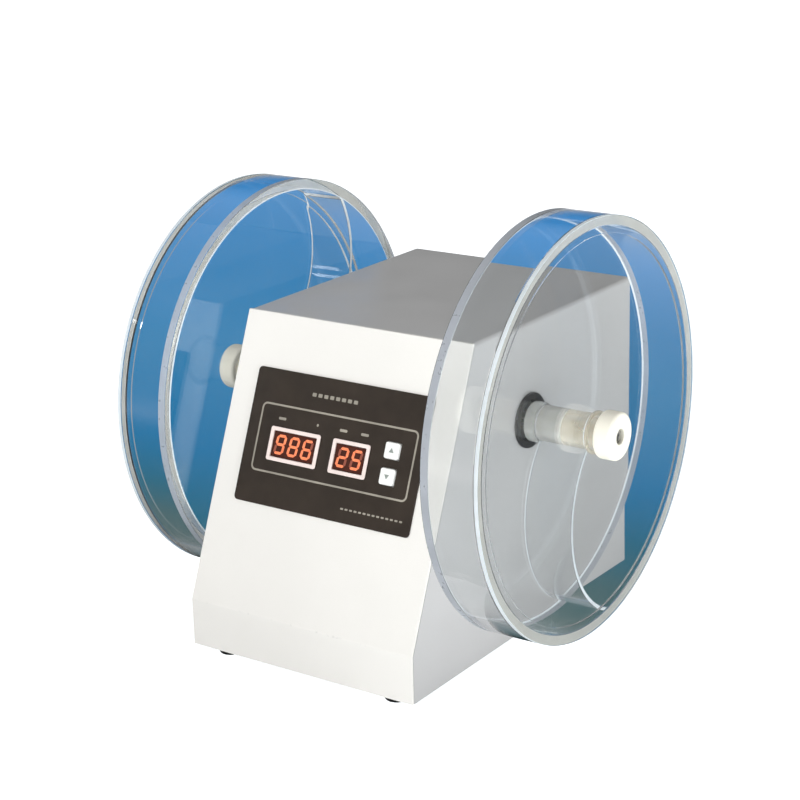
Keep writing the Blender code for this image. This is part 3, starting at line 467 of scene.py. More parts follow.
@dataclass(frozen=True)
class ClearAcrylic(Finish):
    """Polished clear acrylic with a faint tint."""

    def fill(self, surface: Surface) -> None:
        """Glass-clear plastic whose gloss is dulled a little by smears and fine scratches.

        Args:
            surface: The material in the making.
        """
        smears = surface.effect(Effect.SMEARS, Scale=16.0, Amount=0.05)
        scratches = surface.stretched((900, 900, 60))
        swirl = surface.effect(Effect.GRAIN, scratches, Scale=1.0, Detail=2.0)
        rough = surface.sum("ADD", smears, surface.sum("MULTIPLY", swirl, 0.012))
        cloud = surface.effect(Effect.GRAIN, Scale=7.0, Detail=2.0)
        surface.plain(Base_Color=surface.toned(self.colour, cloud, 0.012), Roughness=rough)
        surface.plain(Transmission_Weight=1.0, IOR=1.49)


@dataclass(frozen=True)
class SawnAcrylic(Finish):
    """Cut acrylic edges, which scatter light, with a painted glow in place of the light that the sheet
    carries to them.

    Attributes:
        clear: The share of light that still passes.
        piped: The strength of a painted glow that the edge gives off itself, in place of the light that
            the sheet carries to it.
    """

    clear: float = 0.55
    piped: float = 0.10

    def fill(self, surface: Surface) -> None:
        """A frosted face with fine saw lines and a painted glow.

        Args:
            surface: The material in the making.
        """
        saw_lines = surface.stretched((2400, 500, 500))
        lines = surface.effect(Effect.GRAIN, saw_lines, Scale=1.0, Detail=2.0)
        cloud = surface.effect(Effect.GRAIN, Scale=45.0, Detail=3.0)
        low, high = self.roughness - 0.1, self.roughness + 0.1
        rough = surface.effect(Effect.GRAIN, Scale=300.0, Low=low, High=high)
        surface.plain(Base_Color=surface.toned(self.colour, cloud, 0.07), Roughness=rough)
        surface.plain(Transmission_Weight=self.clear, IOR=1.49)
        # Painted glow: the edge gives off light of its own, standing in for light piped through the
        # sheet.
        surface.plain(Emission_Color=(0.80, 0.88, 0.92), Emission_Strength=self.piped)
        surface.bump(lines, 0.00002, 0.15)


@dataclass(frozen=True)
class Moulded(Finish):
    """Moulded plastic or rubber.

    Attributes:
        texture: Size of the surface grain, in grains a metre.
        depth: Depth of that grain.
        clear: The share of light that passes, for a milky plastic.
        waxy: The share of light that spreads under the surface.
        marks: How far the tone drifts.
    """

    texture: float = 1500.0
    depth: float = 0.00004
    clear: float = 0.0
    waxy: float = 0.0
    marks: float = 0.04

    def fill(self, surface: Surface) -> None:
        """Plastic with a moulded grain, handling marks and paler worn edges.

        Args:
            surface: The material in the making.
        """
        cloud = surface.effect(Effect.GRAIN, Scale=60.0, Detail=4.0)
        colour = surface.toned(self.colour, cloud, self.marks)
        wear = surface.effect(Effect.WEAR, Scale=500.0, Amount=0.4)
        pale = [min(1.0, 0.08 + c * 1.15) for c in self.colour]
        colour = surface.blend(wear, colour, pale)
        low, high = self.roughness - 0.07, self.roughness + 0.07
        rough = surface.effect(Effect.GRAIN, Scale=90.0, Detail=5.0, Low=low, High=high)
        surface.plain(Base_Color=colour, Roughness=rough, IOR=1.5)
        surface.plain(Transmission_Weight=self.clear, Subsurface_Weight=self.waxy)
        surface.plain(Subsurface_Radius=(0.004, 0.003, 0.002), Subsurface_Scale=0.6)
        grain = surface.effect(Effect.GRAIN, Scale=self.texture, Detail=2.0)
        surface.bump(grain, self.depth, 0.5)


@dataclass(frozen=True)
class TurnedMetal(Finish):
    """Metal with the lines of its machining.

    Attributes:
        lines: Scale of the machining marks along X, Y and Z, in marks a metre.
    """

    lines: tuple[float, float, float] = (3500.0, 40.0, 40.0)

    def fill(self, surface: Surface) -> None:
        """Bare metal, with machining lines in its gloss and its normal.

        Args:
            surface: The material in the making.
        """
        marks = surface.effect(Effect.GRAIN, surface.stretched(self.lines), Scale=1.0, Detail=3.0)
        stain = surface.effect(Effect.GRAIN, Scale=50.0, Detail=4.0)
        low, high = self.roughness - 0.06, self.roughness + 0.10
        rough = surface.between(marks, (0.0, 1.0), (low, high))
        surface.plain(Base_Color=surface.toned(self.colour, stain, 0.06), Roughness=rough, Metallic=1.0)
        surface.bump(marks, 0.00002, 0.4)


@dataclass(frozen=True)
class ZincSheet(Finish):
    """Galvanised sheet with a soft spangle."""

    def fill(self, surface: Surface) -> None:
        """Zinc crystals that differ in tone and gloss, under a dull film.

        Args:
            surface: The material in the making.
        """
        cells = surface.add("ShaderNodeTexVoronoi", {"Vector": surface.place, "Scale": 95.0})
        tone = surface.add("ShaderNodeSeparateColor", {0: cells.outputs["Color"]}).outputs[0]
        colour = surface.toned(self.colour, tone, 0.10)
        dust = surface.effect(Effect.DUST, Scale=60.0, Amount=0.35)
        colour = surface.blend(dust, colour, light(150, 147, 140))
        low, high = self.roughness - 0.08, self.roughness + 0.12
        rough = surface.between(tone, (0.0, 1.0), (low, high))
        surface.plain(Base_Color=colour, Roughness=rough, Metallic=0.55)
        surface.bump(surface.effect(Effect.GRAIN, Scale=700.0), 0.00003, 0.4)


@dataclass(frozen=True)
class PrintedFilm(Finish):
    """Dark printed film on a plate, with a fine matt texture."""

    def fill(self, surface: Surface) -> None:
        """Ink that is a little uneven under a pebbled lacquer.

        Args:
            surface: The material in the making.
        """
        cloud = surface.effect(Effect.GRAIN, Scale=55.0, Detail=4.0)
        smears = surface.effect(Effect.SMEARS, Scale=30.0, Amount=0.12)
        rough = surface.sum("ADD", smears, self.roughness)
        surface.plain(Base_Color=surface.toned(self.colour, cloud, 0.16), Roughness=rough)
        surface.bump(surface.effect(Effect.GRAIN, Scale=2200.0, Detail=1.0), 0.00004, 0.3)


@dataclass(frozen=True)
class Lit(Finish):
    """A lamp face or a segment that glows, or an unlit segment given a faint painted glow.

    Attributes:
        glow: The colour that it gives off.
        strength: How brightly.
    """

    glow: Colour = (0.0, 0.0, 0.0)
    strength: float = 1.0

    def fill(self, surface: Surface) -> None:
        """A glow whose colour is toned a little at random over the segments.

        Args:
            surface: The material in the making.
        """
        cloud = surface.effect(Effect.GRAIN, Scale=420.0, Detail=1.0)
        surface.plain(Base_Color=self.colour, Roughness=self.roughness)
        surface.plain(Emission_Color=surface.toned(self.glow, cloud, 0.22))
        surface.plain(Emission_Strength=self.strength)


@dataclass(frozen=True)
class CircuitBoard(Finish):
    """Solder-masked board with tracks that show through the mask."""

    def fill(self, surface: Surface) -> None:
        """Green mask, paler over the tracks, with a faint weave.

        Args:
            surface: The material in the making.
        """
        feeds = {"Vector": surface.stretched((1.0, 1.0, 1.0)), "Scale": 110.0, "Brick Width": 0.9}
        feeds |= {"Row Height": 0.28, "Mortar Size": 0.06, "Color1": (0, 0, 0, 1)}
        feeds |= {"Color2": (0.2, 0.2, 0.2, 1), "Mortar": (1, 1, 1, 1)}
        tracks = surface.add("ShaderNodeTexBrick", feeds).outputs["Fac"]
        colour = surface.blend(tracks, self.colour, [c * 1.9 + 0.01 for c in self.colour])
        rough = surface.effect(Effect.GRAIN, Scale=200.0, Low=0.28, High=0.42)
        surface.plain(Base_Color=colour, Roughness=rough)
        surface.bump(surface.effect(Effect.GRAIN, Scale=1800.0), 0.00003, 0.4)


@dataclass(frozen=True)
class PaleFloor(Finish):
    """The floor: pale, lit from inside as a light table is, with less of its light to the left.

    Attributes:
        shown: The glow that the camera sees.
        cast: The glow that lights the tester, at the left and at the right.
        spread: Between which places along X the glow changes.
        glow: The colour of the glow.
    """

    shown: float = 1.0
    cast: Flat = (0.10, 1.45)
    spread: Flat = (0.02, 0.35)
    glow: Colour = (0.95, 0.985, 1.0)

    def fill(self, surface: Surface) -> None:
        """A pale face with a faint mottle and a glow.

        Args:
            surface: The material in the making.
        """
        cloud = surface.effect(Effect.GRAIN, Scale=3.0, Detail=2.0)
        surface.plain(Base_Color=surface.toned(self.colour, cloud, 0.01), Roughness=self.roughness)
        across = surface.add("ShaderNodeSeparateXYZ", {0: surface.place}).outputs[0]
        cast = surface.between(across, self.spread, self.cast)
        seen = surface.add("ShaderNodeLightPath").outputs["Is Camera Ray"]
        power = surface.between(seen, (0.0, 1.0), (cast, self.shown))
        surface.plain(Emission_Color=self.glow, Emission_Strength=power)


# The finishes of this tester
CLEAR_TINT = (0.972, 0.984, 0.988)
TUBE_PLASTIC = {"texture": 900.0, "depth": 0.00001, "waxy": 0.10}

WHITE_COAT = PowderCoat("white_powder_coat", "white_paint", light(238, 236, 231), 0.38)
GREY_COAT = PowderCoat(
    "grey_powder_coat", "grey_paint", light(197, 197, 197), 0.42, peel=0.00010, clouding=0.05
)
ZINC = ZincSheet("galvanised_sheet", "zinc_sheet", light(188, 192, 196), 0.36)
ACRYLIC = ClearAcrylic("polished_acrylic", "clear_acrylic", CLEAR_TINT, 0.0)
# The three edge finishes below carry a faint painted glow of their own.
SAWN = SawnAcrylic(
    "sawn_acrylic_edge", "clear_acrylic", light(226, 234, 238), 0.42, clear=0.35, piped=0.22
)
BAND = SawnAcrylic(
    "turned_acrylic_edge", "clear_acrylic", light(206, 206, 198), 0.42, clear=0.40, piped=0.06
)
HAZE = SawnAcrylic("cut_disc_edge", "clear_acrylic", light(184, 189, 197), 0.36, clear=0.30, piped=0.04)
IVORY = Moulded(
    "ivory_nylon", "ivory_nylon", light(237, 230, 209), 0.38, texture=900.0, depth=0.00006, waxy=0.25
)
TUBING = Moulded(
    "turned_hub_tube", "clear_acrylic", light(216, 217, 212), 0.20, clear=0.62, **TUBE_PLASTIC
)
MILKY = Moulded(
    "milky_nylon_tube", "ivory_nylon", light(240, 234, 218), 0.22, clear=0.74, **TUBE_PLASTIC
)
STEEL = TurnedMetal("ground_steel", "steel", light(206, 206, 204), 0.16)
SCREW_STEEL = TurnedMetal(
    "plated_steel", "steel", light(196, 194, 188), 0.26, lines=(600.0, 600.0, 600.0)
)
ALUMINIUM = TurnedMetal(
    "milled_aluminium", "aluminium", light(200, 202, 205), 0.34, lines=(90.0, 900.0, 90.0)
)
BRASS = TurnedMetal("cut_brass", "brass", light(214, 178, 96), 0.28, lines=(200.0, 1200.0, 1200.0))
# Blackened steel, which also lines the knob's recess floor as painted shade.
DARK_METAL_AND_SHADE = TurnedMetal(
    "blackened_steel", "dark_steel", light(74, 75, 78), 0.40, lines=(300.0, 300.0, 300.0)
)
CONTACT = TurnedMetal(
    "plated_contact", "black_plastic", light(208, 200, 176), 0.25, lines=(500.0, 500.0, 500.0)
)
RUBBER = Moulded(
    "black_rubber_foot", "black_rubber", light(26, 26, 27), 0.82, texture=700.0, depth=0.00012
)
BLACK = Moulded(
    "black_moulding", "black_plastic", light(24, 24, 26), 0.42, texture=1900.0, depth=0.00005
)
CREAM = Moulded(
    "cream_moulding", "cream_plastic", light(244, 228, 222), 0.36, texture=1600.0, depth=0.00003
)
WHITE_KEY = Moulded("white_key", "white_plastic", light(246, 247, 244), 0.34, depth=0.00003)
FILM = PrintedFilm("keypad_film", "fascia_film", light(50, 42, 35), 0.46)
INK = PrintedFilm("keypad_ink", "fascia_film", light(158, 152, 140), 0.5)
KEY_MARK = PrintedFilm("key_mark", "white_plastic", light(150, 158, 152), 0.5)
SWITCH_MARK = PrintedFilm("switch_mark", "black_plastic", light(222, 222, 220), 0.45)
SMOKED = PrintedFilm("display_window", "lit_digits", light(74, 40, 32), 0.2)
# Unlit segments give off a faint painted glow of their own.
OFF_SEGMENT_GLOW = Lit("segment_off", "lit_digits", light(130, 74, 60), glow=light(150, 74, 52), strength=0.30)
BRIGHT = Lit("segment_lit", "lit_digits", light(140, 60, 40), glow=light(255, 140, 96), strength=1.0)
MASK = CircuitBoard("board_mask", "board_green", light(18, 84, 48), 0.35)
LIGHT_TABLE = PaleFloor("pale_floor", "", light(214, 216, 218), 0.6)


@dataclass(frozen=True)
class Turn:
    """A corner of a turned profile.

    Attributes:
        radius: Distance from the axis.
        level: Place along the axis.
        ease: How far the corner is rounded back along both of its sides.
        finish: Which of the piece's finishes the run after the corner takes.
    """

    radius: float
    level: float
    ease: float = 0.0
    finish: int = 0


def rod(radius: float, end: float) -> list[Turn]:
    """The profile of a plain round bar that reaches an end on both sides of its middle."""
    return [Turn(0, -end), Turn(radius, -end), Turn(radius, end), Turn(0, end)]


def rounded(corners: Sequence[Turn], steps: int) -> list[tuple[float, float, int]]:
    """Rounds the corners of a turned profile.

    Args:
        corners: The profile's corners in order.
        steps: The number of runs in each rounded corner.

    Returns:
        The radius, level and finish of each spot.
    """
    spots = []
    for i, corner in enumerate(corners):
        here = Vector((corner.radius, corner.level))
        if not corner.ease:
            spots.append((corner.radius, corner.level, corner.finish))
            continue
        before, after = corners[i - 1], corners[(i + 1) % len(corners)]
        first = here + (Vector((before.radius, before.level)) - here).normalized() * corner.ease
        last = here + (Vector((after.radius, after.level)) - here).normalized() * corner.ease
        for k in range(steps + 1):
            t = k / steps
            spot = first * (1 - t) ** 2 + here * 2 * t * (1 - t) + last * t**2
            spots.append((spot.x, spot.y, corner.finish))
    return spots


def arc(centre: Flat, radius: float, start: float, end: float, steps: int) -> list[Flat]:
    """Points on an arc, its angles in radians."""
    angles = [start + (end - start) * i / steps for i in range(steps + 1)]
    return [(centre[0] + radius * math.cos(a), centre[1] + radius * math.sin(a)) for a in angles]


def soft_box(width: float, height: float, corner: float, middle: Flat = (0.0, 0.0)) -> list[Flat]:
    """A rectangle with rounded corners, counter-clockwise.

    Args:
        width: Its width.
        height: Its height.
        corner: The radius of its corners.
        middle: Its middle.

    Returns:
        Its outline.
    """
    points = []
    for quarter, (u, v) in enumerate(((1, 1), (-1, 1), (-1, -1), (1, -1))):
        spot = (middle[0] + u * (width / 2 - corner), middle[1] + v * (height / 2 - corner))
        start = quarter * math.pi / 2
        points += arc(spot, corner, start, start + math.pi / 2, 6)
    return points


def shown_from(mesh: bpy.types.ID, name: str) -> Piece:
    """Puts a mesh or a curve into the scene.

    Args:
        mesh: The mesh, or a curve.
        name: The object's name.

    Returns:
        The object.
    """
    piece = bpy.data.objects.new(name, mesh)
    bpy.context.scene.collection.objects.link(piece)
    return piece


def settle(piece: Piece) -> None:
    """Turns what a piece's modifiers make of it into its plain mesh.

    Args:
        piece: The piece.
    """
    graph = bpy.context.evaluated_depsgraph_get()
    mesh = bpy.data.meshes.new_from_object(piece.evaluated_get(graph))
    piece.modifiers.clear()
    old, piece.data = piece.data, mesh
    if old.users == 0:
        bpy.data.meshes.remove(old)
    mesh.name = piece.name


class Form:
    """A mesh in the making, from closed parts that may carry different finishes."""

    def __init__(self, name: str, *finishes: Finish) -> None:
        """Starts an empty piece.

        Args:
            name: The piece's name.
            *finishes: Its finishes, in the order that the parts number them.
        """
        self.name = name
        self.finishes = finishes
        self.mesh = bmesh.new()

    def take(self, part: bmesh.types.BMesh, place: Matrix) -> None:
        """Puts a part in its place, welds it, points its faces outwards and adds it.

        Args:
            part: The part, which is used up.
            place: Where its origin goes.
        """
        bmesh.ops.remove_doubles(part, verts=part.verts, dist=WELD)
        bmesh.ops.transform(part, matrix=place, verts=part.verts)
        bmesh.ops.recalc_face_normals(part, faces=part.faces)
        carrier = bpy.data.meshes.new("part")
        part.to_mesh(carrier)
        part.free()
        self.mesh.from_mesh(carrier)
        bpy.data.meshes.remove(carrier)

    def lathe(
        self, corners: Sequence[Turn], place: Matrix, steps: int = 96, ease_steps: int = 4
    ) -> None:
        """Adds a turned part.

        Args:
            corners: Its profile, closed, or from the axis to the axis.
            place: Where its own Z axis and origin go.
            steps: The number of flats round it.
            ease_steps: The number of runs in each rounded corner.
        """
        part = bmesh.new()
        spots = rounded(corners, ease_steps)
        rings = []
        for radius, level, _ in spots:
            turns = range(steps) if radius > WELD else range(1)
            angles = [2 * math.pi * k / steps for k in turns]
            ring = [part.verts.new((radius * math.cos(a), radius * math.sin(a), level)) for a in angles]
            rings.append(ring)
        runs = len(spots) if len(rings[0]) > 1 else len(spots) - 1
        for i in range(runs):
            first, second = rings[i], rings[(i + 1) % len(rings)]
            for k in range(steps):
                after = (k + 1) % steps
                corner = [first[k % len(first)], first[after % len(first)]]
                corner += [second[after % len(second)], second[k % len(second)]]
                corner = list(dict.fromkeys(corner))
                if len(corner) > 2:
                    part.faces.new(corner).material_index = spots[i][2]
        self.take(part, place)

    def plate(
        self, outlines: Sequence[Sequence[Flat]], levels: Flat, place: Matrix,
        ease: float = 0.0, finish: int = 0,
    ) -> None:
        """Adds a flat part.

        Args:
            outlines: Its outline and then any holes, each counter-clockwise.
            levels: Its lower and upper face.
            place: Where it goes.
            ease: The radius of its edges.
            finish: Which of the piece's finishes it takes.
        """
        low, high = levels
        curve = bpy.data.curves.new("outline", "CURVE")
        curve.dimensions = "2D"
        curve.fill_mode = "BOTH"
        curve.extrude = (high - low) / 2 - ease
        curve.bevel_depth = ease
        curve.bevel_resolution = 2
        curve.offset = -ease
        for i, outline in enumerate(outlines):
            points = list(outline) if i == 0 else list(outline)[::-1]
            spline = curve.splines.new("POLY")
            spline.points.add(len(points) - 1)
            for spot, (x, y) in zip(spline.points, points):
                spot.co = (x, y, 0, 1)
            spline.use_cyclic_u = True
        drawn = shown_from(curve, "outline")
        graph = bpy.context.evaluated_depsgraph_get()
        flat = bpy.data.meshes.new_from_object(drawn.evaluated_get(graph))
        part = bmesh.new()
        part.from_mesh(flat)
        for face in part.faces:
            face.material_index = finish
        bpy.data.objects.remove(drawn)
        bpy.data.curves.remove(curve)
        bpy.data.meshes.remove(flat)
        self.take(part, place @ Matrix.Translation((0, 0, (low + high) / 2)))

    def block(
        self, low: Sequence[float], high: Sequence[float], place: Matrix,
        ease: float = 0.0, finish: int = 0,
    ) -> None:
        """Adds a box with rounded edges.

        Args:
            low: Its lowest corner.
            high: Its highest corner.
            place: Where it goes.
            ease: The radius of its edges.
            finish: Which of the piece's finishes it takes.
        """
        part = bmesh.new()
        bmesh.ops.create_cube(part, size=1.0)
        size = [b - a for a, b in zip(low, high)]
        middle = [(a + b) / 2 for a, b in zip(low, high)]
        bmesh.ops.scale(part, vec=size, verts=part.verts)
        bmesh.ops.translate(part, vec=middle, verts=part.verts)
        if ease:
            bmesh.ops.bevel(part, geom=part.edges, offset=ease, segments=3, profile=0.5, affect="EDGES")
        for face in part.faces:
            face.material_index = finish
        self.take(part, place)

    def ribbon(self, rows: Sequence[Sequence[Vector]], edge_rows: set[int], ease: float) -> None:
        """Adds a closed strip from rows of four corners each.

        Args:
            rows: The corners of each row, in order round the strip.
            edge_rows: Which of the four sides take the second finish.
            ease: The radius of the strip's long edges.
        """
        part = bmesh.new()
        made = [[part.verts.new(corner) for corner in row] for row in rows]
        part.faces.new(made[0])
        part.faces.new(made[-1][::-1])
        for first, second in zip(made, made[1:]):
            for k in range(4):
                after = (k + 1) % 4
                face = part.faces.new((first[k], second[k], second[after], first[after]))
                face.material_index = 1 if k in edge_rows else 0
        bmesh.ops.recalc_face_normals(part, faces=part.faces)
        sharp = [e for e in part.edges if e.calc_face_angle(0.0) > math.radians(55)]
        bmesh.ops.bevel(part, geom=sharp, offset=ease, segments=2, profile=0.5, affect="EDGES")
        self.take(part, UNMOVED)

    def done(self, crease: float = CREASE) -> Piece:
        """Finishes the piece.

        Args:
            crease: The angle in degrees from which an edge stays sharp.

        Returns:
            The piece, with its finishes and its edge attribute.
        """
        mesh = bpy.data.meshes.new(self.name)
        self.mesh.to_mesh(mesh)
        self.mesh.free()
        for finish in self.finishes:
            mesh.materials.append(finish.material())
        return finish_mesh(shown_from(mesh, self.name), crease)


def finish_mesh(piece: Piece, crease: float = CREASE) -> Piece:
    """Shades a piece smooth between its sharp edges and marks its narrow edge faces.

    Args:
        piece: The piece.
        crease: The angle in degrees from which an edge stays sharp.

    Returns:
        The same piece.
    """
    mesh = piece.data
    form = bmesh.new()
    form.from_mesh(mesh)
    marks = []
    for face in form.faces:
        longest = max(edge.calc_length() for edge in face.edges)
        narrow = face.calc_area() < EDGE_WIDTH * longest
        bent = any(edge.calc_face_angle(0.0) > EDGE_BEND for edge in face.edges)
        marks.append(1.0 if narrow and bent else 0.0)
    form.free()
    attribute = mesh.attributes.get("edge") or mesh.attributes.new("edge", "FLOAT", "FACE")
    attribute.data.foreach_set("value", marks)
    mesh.shade_smooth()
    mesh.set_sharp_from_angle(angle=math.radians(crease))
    if crease > CLEAR_CREASE:
        modifier = piece.modifiers.new("flat_faces", "WEIGHTED_NORMAL")
        modifier.keep_sharp = True
        modifier.weight = 100
        settle(piece)
    return piece


def cut(piece: Piece, cutter: Piece) -> None:
    """Cuts a piece with another shape.

    Args:
        piece: What is cut.
        cutter: The shape that is taken out, which is used up.
    """
    modifier = piece.modifiers.new("cut", "BOOLEAN")
    modifier.operation = "DIFFERENCE"
    modifier.solver = "EXACT"
    modifier.use_self = True
    modifier.object = cutter
    settle(piece)
    bpy.data.objects.remove(cutter)


class Repeat:
    """A geometry node tree that copies a piece over a grid or round a circle."""

    def __init__(self, name: str, numbers: dict[str, Union[int, float]]) -> None:
        """Opens the tree.

        Args:
            name: The tree's name.
            numbers: Its named inputs, with their starting values.
        """
        self.group = bpy.data.node_groups.new(name, "GeometryNodeTree")
        faces = self.group.interface
        faces.new_socket("Geometry", in_out="INPUT", socket_type="NodeSocketGeometry")
        for title, value in numbers.items():
            kind = "NodeSocketInt" if isinstance(value, int) else "NodeSocketFloat"
            faces.new_socket(title, in_out="INPUT", socket_type=kind).default_value = value
        faces.new_socket("Finish", in_out="INPUT", socket_type="NodeSocketMaterial")
        faces.new_socket("Geometry", in_out="OUTPUT", socket_type="NodeSocketGeometry")
        self.tree = Tree(self.group)
        self.start = self.tree.add("NodeGroupInput")

    def end(self, points: Socket, turned: Fed | None = None) -> None:
        """Copies the piece onto the points, realises the copies and gives them their finish.

        Args:
            points: The points.
            turned: How each copy is turned.
        """
        feeds = {"Points": points, "Instance": self.start.outputs["Geometry"]}
        if turned is not None:
            feeds["Rotation"] = turned
        copies = self.tree.add("GeometryNodeInstanceOnPoints", feeds)
        real = self.tree.add("GeometryNodeRealizeInstances", {0: copies.outputs[0]})
        feeds = {"Geometry": real.outputs[0], "Material": self.start.outputs["Finish"]}
        coated = self.tree.add("GeometryNodeSetMaterial", feeds)
        self.tree.add("NodeGroupOutput", {0: coated.outputs[0]})

    @classmethod
    def over_grid(cls) -> "Repeat":
        """The tree that copies a piece over a grid.

        Returns:
            The tree.
        """
        made = cls("copies_over_a_grid", {"Wide": 0.1, "Deep": 0.1, "Across": 2, "Along": 2})
        out = made.start.outputs
        feeds = {"Size X": out["Wide"], "Size Y": out["Deep"]}
        feeds |= {"Vertices X": out["Across"], "Vertices Y": out["Along"]}
        made.end(made.tree.add("GeometryNodeMeshGrid", feeds).outputs["Mesh"])
        return made

    @classmethod
    def round_circle(cls) -> "Repeat":
        """The tree that copies a piece round a circle, each copy turned with its place.

        Returns:
            The tree.
        """
        made = cls("copies_round_a_circle", {"Radius": 0.01, "Count": 8})
        out = made.start.outputs
        feeds = {"Vertices": out["Count"], "Radius": out["Radius"]}
        ring = made.tree.add("GeometryNodeMeshCircle", feeds).outputs["Mesh"]
        index = made.tree.add("GeometryNodeInputIndex").outputs[0]
        turn = made.tree.sum("DIVIDE", made.tree.sum("MULTIPLY", index, 2 * math.pi), out["Count"])
        angle = made.tree.add("ShaderNodeCombineXYZ", {"Z": turn}).outputs[0]
        made.end(ring, angle)
        return made

    def apply(
        self, piece: Piece, place: Matrix, **numbers: Union[int, float]
    ) -> Piece:
        """Repeats a piece and puts the result in its place.

        Args:
            piece: The piece that is copied, built round the origin.
            place: Where the middle of the copies goes.
            **numbers: The tree's named inputs.

        Returns:
            The piece, now all of its copies in one plain mesh.
        """
        material = piece.data.materials[0]
        modifier = piece.modifiers.new(self.group.name, "NODES")
        modifier.node_group = self.group
        for item in self.group.interface.items_tree:
            if item.in_out == "INPUT" and item.name in numbers:
                modifier[item.identifier] = numbers[item.name]
            elif item.in_out == "INPUT" and item.name == "Finish":
                modifier[item.identifier] = material
        settle(piece)
        piece.data.transform(place)
        if not piece.data.materials:
            piece.data.materials.append(material)
        return piece

    def row(self, piece: Piece, place: Matrix, reach: float, count: int) -> Piece:
        """Repeats a piece along the X of its place, the last copy a reach from the first."""
        return self.apply(piece, place, Wide=reach, Deep=0.0, Across=count, Along=1)


# Which body carries each CAD node
BODY_OF = {
    node: body for body, nodes in frame["record"]["behaviour"]["bodies"].items() for node in nodes
}


def dress(piece: Piece, finish: Finish, *nodes: str, stands_in: bool = True) -> None:
    """Makes a piece ride on its body and stand for its CAD nodes.

    Args:
        piece: The finished piece.
        finish: Not used.
        *nodes: The CAD nodes that it stands for, or the one that carries it.
        stands_in: Whether the nodes are hidden.
    """
    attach(piece, BODY_OF[nodes[0]])
    if stands_in:
        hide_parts(*nodes)
    log.info("%s: %d faces, on %s", piece.name, len(piece.data.polygons), BODY_OF[nodes[0]])


def coat(node: str, finish: Finish) -> None:
    """Gives a CAD node that stays in view its finish.

    Args:
        node: The node's name.
        finish: The finish.
    """
    piece = frame["nodes"][node]
    if not piece.material_slots:
        piece.data.materials.append(None)
    for slot in piece.material_slots:
        slot.material = finish.material()
    log.info("%s keeps its CAD shape in %s", node, finish.name)


